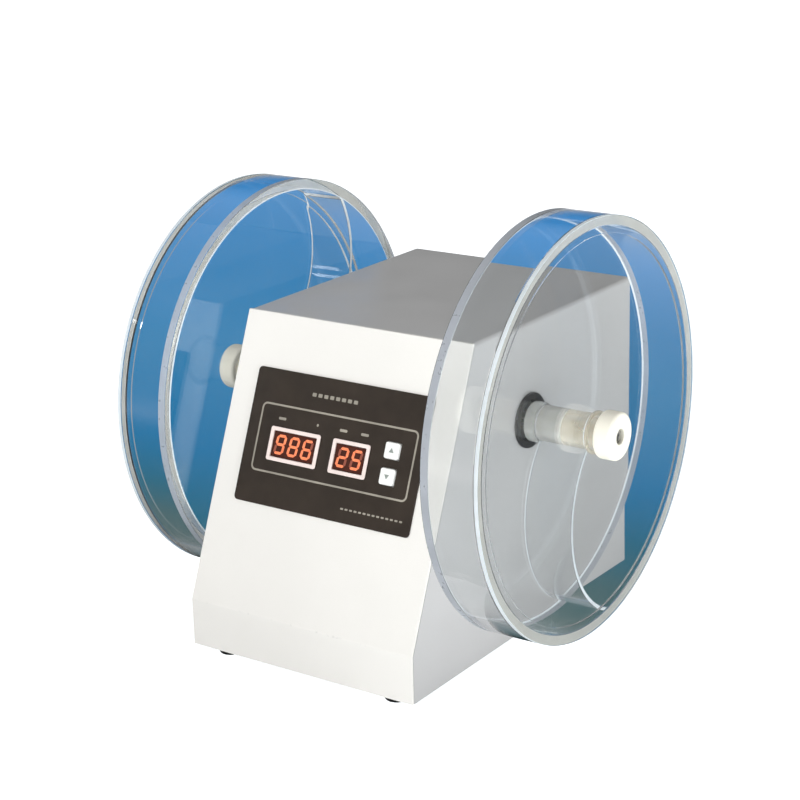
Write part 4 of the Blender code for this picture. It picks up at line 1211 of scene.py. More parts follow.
@dataclass
class CaseShell:
    """The sheet-metal case: front sheet, cover, rear panel, tray, feet, screws and shaft rings."""

    half_width: float = 0.096
    half_depth: float = HALF_DEPTH
    underside: float = UNDERSIDE
    top: float = 0.238
    fold: float = FOLD_HEIGHT
    sheet: float = 0.0015
    fold_radius: float = 0.004
    bend_radius: float = 0.003
    bend_steps: int = 8
    front_edge: float = 0.0005
    edge: float = 0.0003
    clearance: float = 0.1
    shaft_hole: float = 0.0173
    window_widths: Flat = (0.0412, 0.0295)
    window_height: float = 0.0223
    button_hole: float = 0.0121
    opening_levels: Flat = (-0.006, 0.003)
    inlet_opening: Flat = (0.0286, 0.0346)
    switch_opening: Flat = (0.0136, 0.02185)
    opening_corner: float = 0.001
    vent_size: Flat = (0.003, 0.030)
    vent_corner: float = 0.00149
    vent_share: float = 0.70
    vent_levels: Flat = (-0.006, 0.006)
    vent_count: int = 8
    vent_pitch: float = 0.008
    screw_height: float = 0.0075
    screw_spread: float = 0.76
    screw_hole: float = 0.0018
    screw_reach: float = 0.005
    head_radius: float = 0.003
    head_top: float = 0.0023
    thread_radius: float = 0.0015
    thread_end: float = -0.007
    driver_slot: Flat = (0.0018, 0.0003)
    driver_turn: float = 0.6
    foot_insets: Flat = (0.023, 0.014)
    foot_radius: float = 0.009
    foot_face: float = 0.008
    foot_hollow: Flat = (0.0052, 0.0012)
    barb_neck: float = 0.0028
    barb_radius: float = 0.0036
    barb_tip: float = 0.011
    ring_radius: float = 0.020
    ring_neck: float = 0.017
    ring_bore: float = 0.0155
    ring_lip: float = 0.002
    ring_depth: float = 0.006
    repeat: Repeat = field(default_factory=Repeat.over_grid)

    def front_line(self, inset: float) -> list[Flat]:
        """The front's section at an inset from its face, from the bottom to the top.

        Args:
            inset: How far back from the face, square to the sheet.

        Returns:
            Points of Y and Z.
        """
        face = -self.half_depth + inset
        fold = self.fold - inset * math.tan(LEAN / 2)
        radius = self.fold_radius - inset
        back = radius * math.tan(LEAN / 2)
        points = [(face, self.underside)]
        points += arc((face + radius, fold - back), radius, math.pi, math.pi - LEAN, self.bend_steps)
        points.append((face + (self.top - fold) * math.tan(LEAN), self.top))
        return points

    def cover_line(self, inset: float) -> list[Flat]:
        """The cover's section at an inset from its outside, from the right foot to the left.

        Args:
            inset: How far inside the outer face.

        Returns:
            Points of X and Z.
        """
        side, top = self.half_width - self.bend_radius, self.top - self.bend_radius
        radius = self.bend_radius - inset
        points = [(self.half_width - inset, self.underside)]
        points += arc((side, top), radius, 0.0, math.pi / 2, self.bend_steps)
        points += arc((-side, top), radius, math.pi / 2, math.pi, self.bend_steps)
        points.append((inset - self.half_width, self.underside))
        return points

    def build_front(self) -> None:
        """The white front sheet, folded at the lip, with its windows and button holes."""
        outline = self.front_line(0.0) + self.front_line(self.sheet)[::-1]
        form = Form("front_sheet", WHITE_COAT)
        place = SIDE_ON @ Matrix.Translation((0, 0, -self.half_width))
        form.plate([outline[::-1]], (0.0, 2 * self.half_width), place, self.front_edge)
        piece = form.done()
        openings = [
            (x, READOUT_Y, width / 2, self.window_height / 2)
            for x, width in zip(READOUT_XS, self.window_widths)
        ]
        half = self.button_hole / 2
        openings += [(BUTTON_X, y, half, half) for y in BUTTON_YS]
        form = Form("front_openings", WHITE_COAT)
        low, high = self.opening_levels
        for x, y, wide, tall in openings:
            form.block((x - wide, y - tall, low), (x + wide, y + tall, high), KEYPAD)
        cut(piece, form.done())
        dress(finish_mesh(piece), WHITE_COAT, "front_panel")

    def build_cover(self) -> None:
        """The grey cover, bent from one sheet, with a hole for the shaft in each side."""
        setback = self.sheet + GAP
        form = Form("case_cover", GREY_COAT)
        outline = self.cover_line(0.0) + self.cover_line(self.sheet)[::-1]
        form.plate([outline], (-self.half_depth, self.half_depth - setback), UPRIGHT, self.edge)
        piece = form.done()
        form = Form("front_room", GREY_COAT)
        before, below = -self.half_depth - self.clearance, self.underside - self.clearance
        above, reach = self.top + self.clearance, self.half_width + self.clearance
        line = self.front_line(setback)[1:]
        room = [(before, below), (-self.half_depth + setback, below)]
        room += line[:-1] + [(line[-1][0] + self.clearance * math.tan(LEAN), above), (before, above)]
        place = SIDE_ON @ Matrix.Translation((0, 0, -reach))
        form.plate([room], (0.0, 2 * reach), place)
        cut(piece, form.done())
        form = Form("shaft_hole", GREY_COAT)
        form.lathe(rod(self.shaft_hole, reach), Side.RIGHT.outward)
        cut(piece, form.done())
        dress(finish_mesh(piece), GREY_COAT, "cover")

    def build_rear(self) -> None:
        """The rear panel, with its openings, vent slots and screw holes."""
        width = 2 * (self.half_width - self.sheet - GAP)
        height = self.top - self.underside - self.sheet - GAP
        outlines = [soft_box(width, height, self.bend_radius, (0, height / 2))]
        outlines.append(soft_box(*self.inlet_opening, self.opening_corner, INLET_SPOT))
        outlines.append(soft_box(*self.switch_opening, self.opening_corner, SWITCH_SPOT))
        form = Form("rear_sheet", ZINC)
        form.plate(outlines, (-self.sheet, 0.0), REAR, self.edge)
        panel = form.done()
        form = Form("vent_slots", ZINC)
        form.plate([soft_box(*self.vent_size, self.vent_corner)], self.vent_levels, UNMOVED)
        place = REAR @ Matrix.Translation((0, height * self.vent_share, 0))
        reach = self.vent_pitch * (self.vent_count - 1)
        cut(panel, self.repeat.row(form.done(), place, reach, self.vent_count))
        form = Form("screw_holes", ZINC)
        form.lathe(rod(self.screw_hole, self.screw_reach), UNMOVED, 24)
        cut(panel, self.screw_pair(form.done()))
        dress(finish_mesh(panel), ZINC, "rear_panel")

    def screw_pair(self, piece: Piece) -> Piece:
        """Repeats a piece at the two screws of the rear panel.

        Args:
            piece: What stands at each screw.

        Returns:
            The piece, now both of its copies.
        """
        place = REAR @ Matrix.Translation((0, self.screw_height, 0))
        reach = 2 * self.half_width * self.screw_spread
        return self.repeat.row(piece, place, reach, 2)

    def build_screws(self) -> None:
        """The two screws that hold the rear panel, each with a cross slot."""
        form = Form("rear_screws", SCREW_STEEL)
        head = [Turn(0, self.head_top), Turn(0.0022, self.head_top, 0.0006)]
        head += [Turn(self.head_radius, 0.0011, 0.0004), Turn(self.head_radius, GAP)]
        head += [Turn(self.thread_radius, GAP), Turn(self.thread_radius, -0.0066, 0.0002)]
        head.append(Turn(0, self.thread_end))
        form.lathe(head, UNMOVED, 40)
        screw = form.done()
        length, width = self.driver_slot
        for turned in (0.0, math.pi / 2):
            form = Form("driver_slot", SCREW_STEEL)
            quarter = Matrix.Rotation(turned + self.driver_turn, 4, "Z")
            form.block((-length, -width, 0.0012), (length, width, 0.004), quarter)
            cut(screw, form.done())
        screws = self.screw_pair(screw)
        dress(finish_mesh(screws), SCREW_STEEL, "left_rear_screw", "right_rear_screw")

    def build_feet(self) -> None:
        """Four rubber feet with a softened edge and a hollow under each."""
        form = Form("rubber_feet", RUBBER)
        top = self.underside - GAP
        barb = self.underside + self.sheet + GAP
        hollow, roof = self.foot_hollow
        form.lathe(
            [
                Turn(0, roof),
                Turn(0.004, roof, 0.0005),
                Turn(hollow, 0.0, 0.0005),
                Turn(self.foot_face, 0.0, 0.0008),
                Turn(self.foot_radius, 0.0022, 0.0008),
                Turn(self.foot_radius, top, 0.0007),
                Turn(self.barb_neck, top),
                Turn(self.barb_neck, barb),
                Turn(self.barb_radius, barb, 0.0002),
                Turn(self.barb_neck, self.barb_tip, 0.0004),
                Turn(0, self.barb_tip),
            ],
            UNMOVED,
            48,
        )
        side_inset, end_inset = self.foot_insets
        wide, deep = 2 * (self.half_width - side_inset), 2 * (self.half_depth - end_inset)
        numbers = {"Wide": wide, "Deep": deep, "Across": 2, "Along": 2}
        feet = self.repeat.apply(form.done(), UNMOVED, **numbers)
        names = [f"{end}_{side.word}_foot" for end in ("front", "rear") for side in Side]
        dress(finish_mesh(feet), RUBBER, *names)

    def build_rings(self) -> None:
        """The black ring in each side of the cover."""
        low = self.half_width + GAP
        for side in Side:
            form = Form(f"{side.word}_ring", BLACK)
            form.lathe(
                [
                    Turn(self.ring_radius, low + self.ring_lip, 0.0008),
                    Turn(self.ring_radius, low),
                    Turn(self.ring_neck, low),
                    Turn(self.ring_neck, low - self.ring_depth),
                    Turn(self.ring_bore, low - self.ring_depth),
                    Turn(self.ring_bore, low + self.ring_lip, 0.0004),
                ],
                side.outward,
            )
            dress(form.done(), BLACK, f"{side.word}_shaft_ring")

    def build(self) -> None:
        """Builds every piece of the case."""
        self.build_front()
        self.build_cover()
        self.build_rear()
        self.build_screws()
        self.build_feet()
        self.build_rings()
        coat("base_plate", ZINC)


class Glyph(Enum):
    """Which of a digit's seven segments are lit: top, upper right, lower right, bottom,
    lower left, upper left and middle."""

    TWO = (1, 1, 0, 1, 1, 0, 1)
    FIVE = (1, 0, 1, 1, 0, 1, 1)
    SIX = (1, 0, 1, 1, 1, 1, 1)
    EIGHT = (1, 1, 1, 1, 1, 1, 1)
    NINE = (1, 1, 1, 1, 0, 1, 1)


@dataclass
class Readout:
    """A lit display in its bezel.

    Attributes:
        name: Its name in the frame's nodes.
        glyphs: Its digits, from left to right.
        x: Its middle along the keypad.
        y: Its middle up the keypad.
    """

    name: str
    glyphs: Sequence[Glyph]
    x: float
    y: float = READOUT_Y
    pitch: float = 0.0117
    margin: float = 0.00405
    height: float = 0.0243
    corner: float = 0.0016
    inner_corner: float = 0.0006
    flange: Flat = (0.0016, 0.0028)
    back: float = -0.004
    lip: float = 0.0013
    band: float = 0.0028
    window_corner: float = 0.0004
    window_levels: Flat = (-0.0117, 0.0019)
    digit_height: float = 0.0142
    digit_width: float = 0.0086
    stroke: float = 0.0019
    slant: float = math.radians(7)
    segment_gap: float = 0.0001
    segment_levels: Flat = (0.0018, 0.00196)
    lit_rise: float = 0.00004

    @property
    def width(self) -> float:
        """Outside width of the bezel."""
        return len(self.glyphs) * self.pitch + 2 * self.margin

    @property
    def place(self) -> Matrix:
        """The middle of the display on the keypad."""
        return KEYPAD @ Matrix.Translation((self.x, self.y, 0.0))

    def build_bezel(self) -> None:
        """The light frame, with a lip over the plate."""
        width, height, low = self.width, self.height, self.flange[0]
        opening = soft_box(width - 2 * self.band, height - 2 * self.band, self.inner_corner)
        form = Form(f"{self.name}_frame", CREAM)
        form.plate([soft_box(width, height, self.corner), opening], self.flange, self.place, 0.0004)
        body = soft_box(width - 2 * self.lip, height - 2 * self.lip, self.inner_corner)
        form.plate([body, opening], (self.back, low), self.place)
        dress(form.done(), CREAM, f"{self.name}_bezel")

    def segment(self, middle: Flat, length: float, upright: bool) -> list[Flat]:
        """One segment with pointed ends.

        Args:
            middle: Its middle.
            length: Its length, point to point.
            upright: Whether it stands.

        Returns:
            Its outline.
        """
        half, thick = length / 2 - self.segment_gap, self.stroke / 2
        points = [(-half, 0), (thick - half, -thick), (half - thick, -thick)]
        points += [(half, 0), (half - thick, thick), (thick - half, thick)]
        if upright:
            points = [(-y, x) for x, y in points]
        lean = math.tan(self.slant)
        points = [(middle[0] + x, middle[1] + y) for x, y in points]
        return [(x + y * lean, y) for x, y in points]

    def build_window(self) -> None:
        """The dark window with its lit segments and its unlit ones, which carry a faint painted glow."""
        width, height = self.width - 2 * self.band - 2 * GAP, self.height - 2 * self.band - 2 * GAP
        form = Form(f"{self.name}_window", SMOKED, OFF_SEGMENT_GLOW, BRIGHT)
        outline = soft_box(width, height, self.window_corner)
        form.plate([outline], self.window_levels, self.place, 0.0001)
        across, half = self.digit_width - self.stroke, (self.digit_height - self.stroke) / 2
        low, high = self.segment_levels
        for i, glyph in enumerate(self.glyphs):
            x = (i - (len(self.glyphs) - 1) / 2) * self.pitch
            runs = (
                ((x, half), across, False),
                ((x + across / 2, half / 2), half, True),
                ((x + across / 2, -half / 2), half, True),
                ((x, -half), across, False),
                ((x - across / 2, -half / 2), half, True),
                ((x - across / 2, half / 2), half, True),
                ((x, 0.0), across, False),
            )
            for lit, run in zip(glyph.value, runs):
                levels = (low, high + self.lit_rise * lit)
                form.plate([self.segment(*run)], levels, self.place, 0.0, 1 + lit)
        dress(form.done(), SMOKED, f"{self.name}_display")

    def build(self) -> None:
        """Builds the bezel and what shows in it."""
        self.build_bezel()
        self.build_window()


@dataclass(frozen=True)
class Dashes:
    """A row of plain dashes printed on the plate.

    Attributes:
        name: Its name.
        middle: Its middle on the keypad.
        count: The number of dashes.
        size: The width and height of each.
        pitch: The distance between their middles.
    """

    name: str
    middle: Flat
    count: int
    size: Flat
    pitch: float


@dataclass
class Keypad:
    """The dark plate with its print, two readouts and two buttons.

    Attributes:
        overlap: How much larger each bezel is than its opening.
        captions: The X, Y and length of the plain mark over each display.
    """

    width: float = 0.151
    height: float = 0.097
    corner: float = 0.003
    hole_corner: float = 0.0006
    face: float = 0.0013
    edge: float = 0.0002
    overlap: float = 0.002
    readouts: Sequence[Readout] = (
        Readout("count", (Glyph.NINE, Glyph.EIGHT, Glyph.SIX), READOUT_XS[0]),
        Readout("time", (Glyph.TWO, Glyph.FIVE), READOUT_XS[1]),
    )
    ink_levels: Flat = (-0.0001, 0.00004)
    frame_middle: Flat = (0.0012, -0.0007)
    frame_outside: Plan = (0.1345, 0.0495, 0.0042)
    frame_inside: Plan = (0.1318, 0.0468, 0.0029)
    captions: Sequence[Spot] = (
        (-0.0466, 0.0142, 0.0064),
        (-0.0156, 0.0144, 0.0016),
        (0.0068, 0.0142, 0.0064),
        (0.0250, 0.0142, 0.0064),
    )
    caption_height: float = 0.0019
    caption_corner: float = 0.0007
    dashes: Sequence[Dashes] = (
        Dashes("upper", (-0.0055, 0.0350), 8, (0.0034, 0.0026), 0.0051),
        Dashes("lower", (0.0425, -0.0388), 14, (0.0024, 0.0013), 0.0038),
    )
    dash_corner: float = 0.0005
    button_size: float = 0.0115
    cap_levels: Flat = (-0.0018, 0.0035)
    cap_corner: float = 0.0016
    cap_edge: float = 0.0007
    flange_size: float = 0.0143
    flange_low: float = -0.0028
    stem_size: float = 0.004
    stem_low: float = -0.0102
    mark_levels: Flat = (0.0034, 0.00352)
    repeat: Repeat = field(default_factory=Repeat.over_grid)

    def build_plate(self) -> None:
        """The plate, with windows for the bezels and holes for the buttons."""
        outlines = [soft_box(self.width, self.height, self.corner)]
        for readout in self.readouts:
            size = (readout.width - self.overlap, readout.height - self.overlap)
            outlines.append(soft_box(*size, self.hole_corner, (readout.x, readout.y)))
        hole = self.button_size + 2 * GAP
        for y in BUTTON_YS:
            outlines.append(soft_box(hole, hole, self.hole_corner, (BUTTON_X, y)))
        form = Form("keypad_plate", FILM)
        form.plate(outlines, (GAP, self.face), KEYPAD, self.edge)
        dress(form.done(), FILM, "fascia_plate")

    def build_print(self) -> None:
        """The printed frame round the controls and the plain marks beside them."""
        form = Form("keypad_print", INK)
        levels = (self.face + self.ink_levels[0], self.face + self.ink_levels[1])
        lines = [soft_box(*size, self.frame_middle) for size in (self.frame_outside, self.frame_inside)]
        form.plate(lines, levels, KEYPAD)
        for x, y, length in self.captions:
            mark = soft_box(length, self.caption_height, self.caption_corner, (x, y))
            form.plate([mark], levels, KEYPAD)
        dress(form.done(), INK, "fascia_plate", stands_in=False)
        for dashes in self.dashes:
            form = Form(f"{dashes.name}_dashes", INK)
            form.plate([soft_box(*dashes.size, self.dash_corner)], levels, UNMOVED)
            place = KEYPAD @ Matrix.Translation((*dashes.middle, 0.0))
            reach = dashes.pitch * (dashes.count - 1)
            row = self.repeat.row(form.done(), place, reach, dashes.count)
            dress(finish_mesh(row), INK, "fascia_plate", stands_in=False)

    def build_buttons(self) -> None:
        """Square caps with rounded edges and a small mark, each with its flange and stem."""
        low, high = self.cap_levels
        for name, y, sign in zip(("upper", "lower"), BUTTON_YS, (1, -1)):
            place = KEYPAD @ Matrix.Translation((BUTTON_X, y, 0.0))
            form = Form(f"{name}_key", WHITE_KEY, KEY_MARK)
            size, flange, stem = self.button_size, self.flange_size, self.stem_size
            form.plate([soft_box(size, size, self.cap_corner)], (low, high), place, self.cap_edge)
            form.plate([soft_box(flange, flange, 0.001)], (self.flange_low, low), place)
            form.plate([soft_box(stem, stem, 0.0004)], (self.stem_low, self.flange_low), place)
            mark = [(-0.0021, -0.0014 * sign), (0.0021, -0.0014 * sign), (0.0, 0.0020 * sign)]
            form.plate([mark[::sign]], self.mark_levels, place, 0.0, 1)
            dress(form.done(), WHITE_KEY, f"{name}_button")

    def build(self) -> None:
        """Builds every piece of the keypad."""
        self.build_plate()
        self.build_print()
        self.build_buttons()
        for readout in self.readouts:
            readout.build()
        for node in ("upper_switch", "lower_switch"):
            coat(node, BLACK)
        coat("control_board", MASK)


@dataclass
class Drum:
    """One clear drum with its arm, hub, outer disc, sleeve and hand knob.

    Attributes:
        side: Which end of the shaft it is on.
        arm_turn: How far its arm is turned from the frame's +Y towards +Z.
        notch: Where the arm's notch starts short of the ledge, the run of its slope and its depth.
        ledge: The inner and outer radius of the outer disc's ledge, and how far in it reaches.
    """

    side: Side
    arm_turn: float
    radius: float = 0.1505
    inside: float = 0.1435
    back: float = 0.108
    start: float = 0.111
    end: float = 0.149
    front: float = 0.152
    hub_radius: float = 0.013
    boss_radius: float = 0.0145
    hub_low: float = 0.1000
    hub_end: float = 0.1297
    bore: float = 0.0063
    sleeve_radius: float = 0.013
    cement: float = 0.0009
    frosted: float = 0.0030
    arm_radius: float = 0.0805
    arm_thickness: float = 0.003
    arm_middle: float = 0.0850
    arm_steps: int = 72
    notch: Spot = (0.0024, 0.001, 0.0023)
    ledge: Spot = (0.1379, 0.1432, 0.147)
    sleeve_ends: Flat = (0.1300, 0.1590)
    flange_radius: float = 0.0155
    flange: Flat = (0.1523, 0.1540)
    knob_radius: float = 0.0171
    knob_ends: Flat = (0.1593, 0.1725)
    knob_round: float = 0.0025
    knob_bore: float = 0.0043
    seat_radius: float = 0.0055
    seat: float = 0.1696
    steps: int = 192

    @staticmethod
    def see_through(piece: Piece) -> Piece:
        """Lets lamps through a clear piece, as they pass through real acrylic."""
        piece.visible_shadow = piece.visible_diffuse = False
        return piece

    def build_fixed(self) -> None:
        """The back disc welded to the wall, with a line of cement inside, and the hub."""
        word = self.side.word
        high, cement = self.end - GAP, self.cement
        form = Form(f"{word}_drum_shell", ACRYLIC, SAWN, BAND, HAZE)
        form.lathe(
            [
                Turn(self.radius, high, 0.0004),
                Turn(self.radius, self.start + self.frosted, 0.0, 3),
                Turn(self.radius, self.back, 0.0004),
                Turn(self.hub_radius + GAP, self.back, 0.0003),
                Turn(self.hub_radius + GAP, self.start, 0.0003),
                Turn(self.inside - cement, self.start, 0.0, 1),
                Turn(self.inside, self.start + cement),
                Turn(self.inside, high, 0.0004, 2),
            ],
            self.side.outward,
            self.steps,
            2,
        )
        shell = self.see_through(form.done(CLEAR_CREASE))
        dress(shell, ACRYLIC, f"{word}_back_disc", f"{word}_rim")
        form = Form(f"{word}_drum_hub", TUBING, SAWN)
        shoulder = self.back - GAP
        form.lathe(
            [
                Turn(self.hub_radius, self.hub_end, 0.0005),
                Turn(self.hub_radius, shoulder),
                Turn(self.boss_radius, shoulder, 0.0004),
                Turn(self.boss_radius, self.hub_low, 0.0006),
                Turn(self.bore, self.hub_low, 0.0003),
                Turn(self.bore, self.hub_end, 0.0003, 1),
            ],
            self.side.outward,
            96,
        )
        dress(self.see_through(form.done(CLEAR_CREASE)), TUBING, f"{word}_hub")

    def build_arm(self) -> None:
        """The curved arm, cut to the hub and the wall, with a notch for the outer disc's ledge."""
        inner, outer = self.arm_radius, self.arm_radius + self.arm_thickness
        turn = Matrix.Rotation(self.arm_turn, 4, "X")

        def meets(arm: float, reach: float) -> float:
            """The angle on an arc at which it is a distance from the shaft's axis."""
            share = (reach**2 - self.arm_middle**2 - arm**2) / (2 * self.arm_middle * arm)
            return math.acos(max(-1.0, min(1.0, share)))

        starts = [meets(r, self.hub_radius + GAP) for r in (inner, outer)]
        ends = [meets(r, self.inside - GAP) for r in (inner, outer)]
        before, slope, depth = self.notch
        outwards = Vector((self.side.value, 0, 0))
        low = outwards * (self.start + GAP)
        rows = []
        for i in range(self.arm_steps + 1):
            corners, highs = [], []
            for r, first, last in zip((inner, outer), starts, ends):
                a = first + (last - first) * i / self.arm_steps
                spot = turn @ Vector((0, self.arm_middle + r * math.cos(a), -r * math.sin(a)))
                notched = min(1.0, max(0.0, (spot.length - self.ledge[0] + before) / slope))
                corners.append(spot + Vector((0, 0, AXIS_HEIGHT)))
                highs.append(outwards * (self.end - GAP - depth * notched))
            row = [corners[0] + low, corners[0] + highs[0]]
            row += [corners[1] + highs[1], corners[1] + low]
            rows.append(row)
        form = Form(f"{self.side.word}_tumbling_arm", ACRYLIC, SAWN)
        form.ribbon(rows, {1, 3}, 0.0003)
        dress(self.see_through(form.done(CLEAR_CREASE)), ACRYLIC, f"{self.side.word}_arm")

    def build_lid(self) -> None:
        """The outer disc with its locating ledge, and the milky sleeve that carries it."""
        word = self.side.word
        inner, outer, low = self.ledge
        hole = self.sleeve_radius + GAP
        form = Form(f"{word}_outer_disc", ACRYLIC, SAWN)
        form.lathe(
            [
                Turn(self.radius, self.front, 0.0003, 1),
                Turn(self.radius, self.end, 0.0003),
                Turn(outer, self.end),
                Turn(outer, low, 0.0003),
                Turn(inner, low, 0.0003),
                Turn(inner, self.end),
                Turn(hole, self.end, 0.0003, 1),
                Turn(hole, self.front, 0.0003),
            ],
            self.side.outward,
            self.steps,
            2,
        )
        dress(self.see_through(form.done(CLEAR_CREASE)), ACRYLIC, f"{word}_cover_disc")
        form = Form(f"{word}_lid_sleeve", MILKY)
        inner_end, outer_end = self.sleeve_ends
        flange_low, flange_high = self.flange
        form.lathe(
            [
                Turn(self.sleeve_radius, outer_end, 0.0003),
                Turn(self.sleeve_radius, flange_high),
                Turn(self.flange_radius, flange_high, 0.0005),
                Turn(self.flange_radius, flange_low, 0.0003),
                Turn(self.sleeve_radius, flange_low),
                Turn(self.sleeve_radius, inner_end, 0.0006),
                Turn(self.bore, inner_end, 0.0003),
                Turn(self.bore, outer_end, 0.0003),
            ],
            self.side.outward,
            96,
        )
        dress(self.see_through(form.done(CLEAR_CREASE)), MILKY, f"{word}_sleeve")

    def build_knob(self) -> None:
        """The ivory hand knob, with the floor of its recess round the shaft's end made dark as painted
        shade.
        """
        low, high = self.knob_ends
        form = Form(f"{self.side.word}_hand_knob", IVORY, DARK_METAL_AND_SHADE)
        form.lathe(
            [
                Turn(self.knob_radius, high, self.knob_round),
                Turn(self.knob_radius, low, self.knob_round),
                Turn(self.knob_bore, low),
                # Painted shade: the recess floor takes the dark metal finish to stand for the shade down
                # in the hole.
                Turn(self.knob_bore, self.seat, 0.0, 1),
                Turn(self.seat_radius, self.seat),
                Turn(self.seat_radius, high, 0.0006),
            ],
            self.side.outward,
            128,
            8,
        )
        dress(form.done(), IVORY, f"{self.side.word}_knob")

    def build(self) -> None:
        """Builds every piece of the drum."""
        self.build_fixed()
        self.build_arm()
        self.build_lid()
        self.build_knob()


@dataclass
class Drive:
    """The shaft, and what turns and carries it inside the case."""

    shaft_radius: float = 0.006
    thread_radius: float = 0.004
    shoulder: float = 0.152
    shaft_end: float = 0.1707
    drilling: Flat = (0.0013, 0.0014)
    bearing_centre: float = 0.070
    bearing_half: float = 0.004
    inner_race: Flat = (0.0063, 0.0086)
    outer_race: Flat = (0.0114, 0.014)
    ball_radius: float = 0.0019
    ball_circle: float = 0.010
    ball_count: int = 9
    circle: Repeat = field(default_factory=Repeat.round_circle)

    def build_shaft(self) -> None:
        """The ground shaft with turned-down ends and a centre drilling in each."""
        form = Form("ground_shaft", STEEL)
        radius, depth = self.drilling
        half = [
            Turn(0, self.shaft_end - depth),
            Turn(radius, self.shaft_end),
            Turn(self.thread_radius, self.shaft_end, 0.0007),
            Turn(self.thread_radius, self.shoulder),
            Turn(self.shaft_radius, self.shoulder, 0.0005),
        ]
        other = [Turn(t.radius, -t.level, t.ease, t.finish) for t in half[::-1]]
        form.lathe(half + other, Side.RIGHT.outward, 96)
        dress(form.done(), STEEL, "main_shaft")

    def build_bearings(self) -> None:
        """Two ball bearings, each with its rings and a circle of balls."""
        for side in Side:
            place = side.outward @ Matrix.Translation((0, 0, self.bearing_centre))
            form = Form(f"{side.word}_ball_bearing", SCREW_STEEL)
            half = self.bearing_half
            for inner, outer in (self.inner_race, self.outer_race):
                ring = [Turn(outer, half, 0.0006), Turn(outer, -half, 0.0006)]
                ring += [Turn(inner, -half, 0.0004), Turn(inner, half, 0.0004)]
                form.lathe(ring, place, 72)
            bearing = form.done()
            ball = bmesh.new()
            bmesh.ops.create_uvsphere(ball, u_segments=20, v_segments=12, radius=self.ball_radius)
            form = Form("ball", SCREW_STEEL)
            form.take(ball, UNMOVED)
            numbers = {"Radius": self.ball_circle, "Count": self.ball_count}
            balls = self.circle.apply(form.done(), place, **numbers)
            joined = bmesh.new()
            joined.from_mesh(bearing.data)
            joined.from_mesh(balls.data)
            joined.to_mesh(bearing.data)
            joined.free()
            bpy.data.objects.remove(balls)
            dress(finish_mesh(bearing), SCREW_STEEL, f"{side.word}_bearing")

    def build(self) -> None:
        """Builds the shaft and bearings and coats what keeps its CAD shape."""
        self.build_shaft()
        self.build_bearings()
        for side in Side:
            coat(f"{side.word}_bearing_bracket", ALUMINIUM)
            coat(f"{side.word}_collar", DARK_METAL_AND_SHADE)
        finishes = {
            "drive_gear": BRASS,
            "pinion": SCREW_STEEL,
            "motor_shaft": STEEL,
            "motor": DARK_METAL_AND_SHADE,
            "gearbox": ALUMINIUM,
            "motor_bracket": ZINC,
            "slotted_disc": DARK_METAL_AND_SHADE,
            "turn_sensor": BLACK,
        }
        for node, finish in finishes.items():
            coat(node, finish)


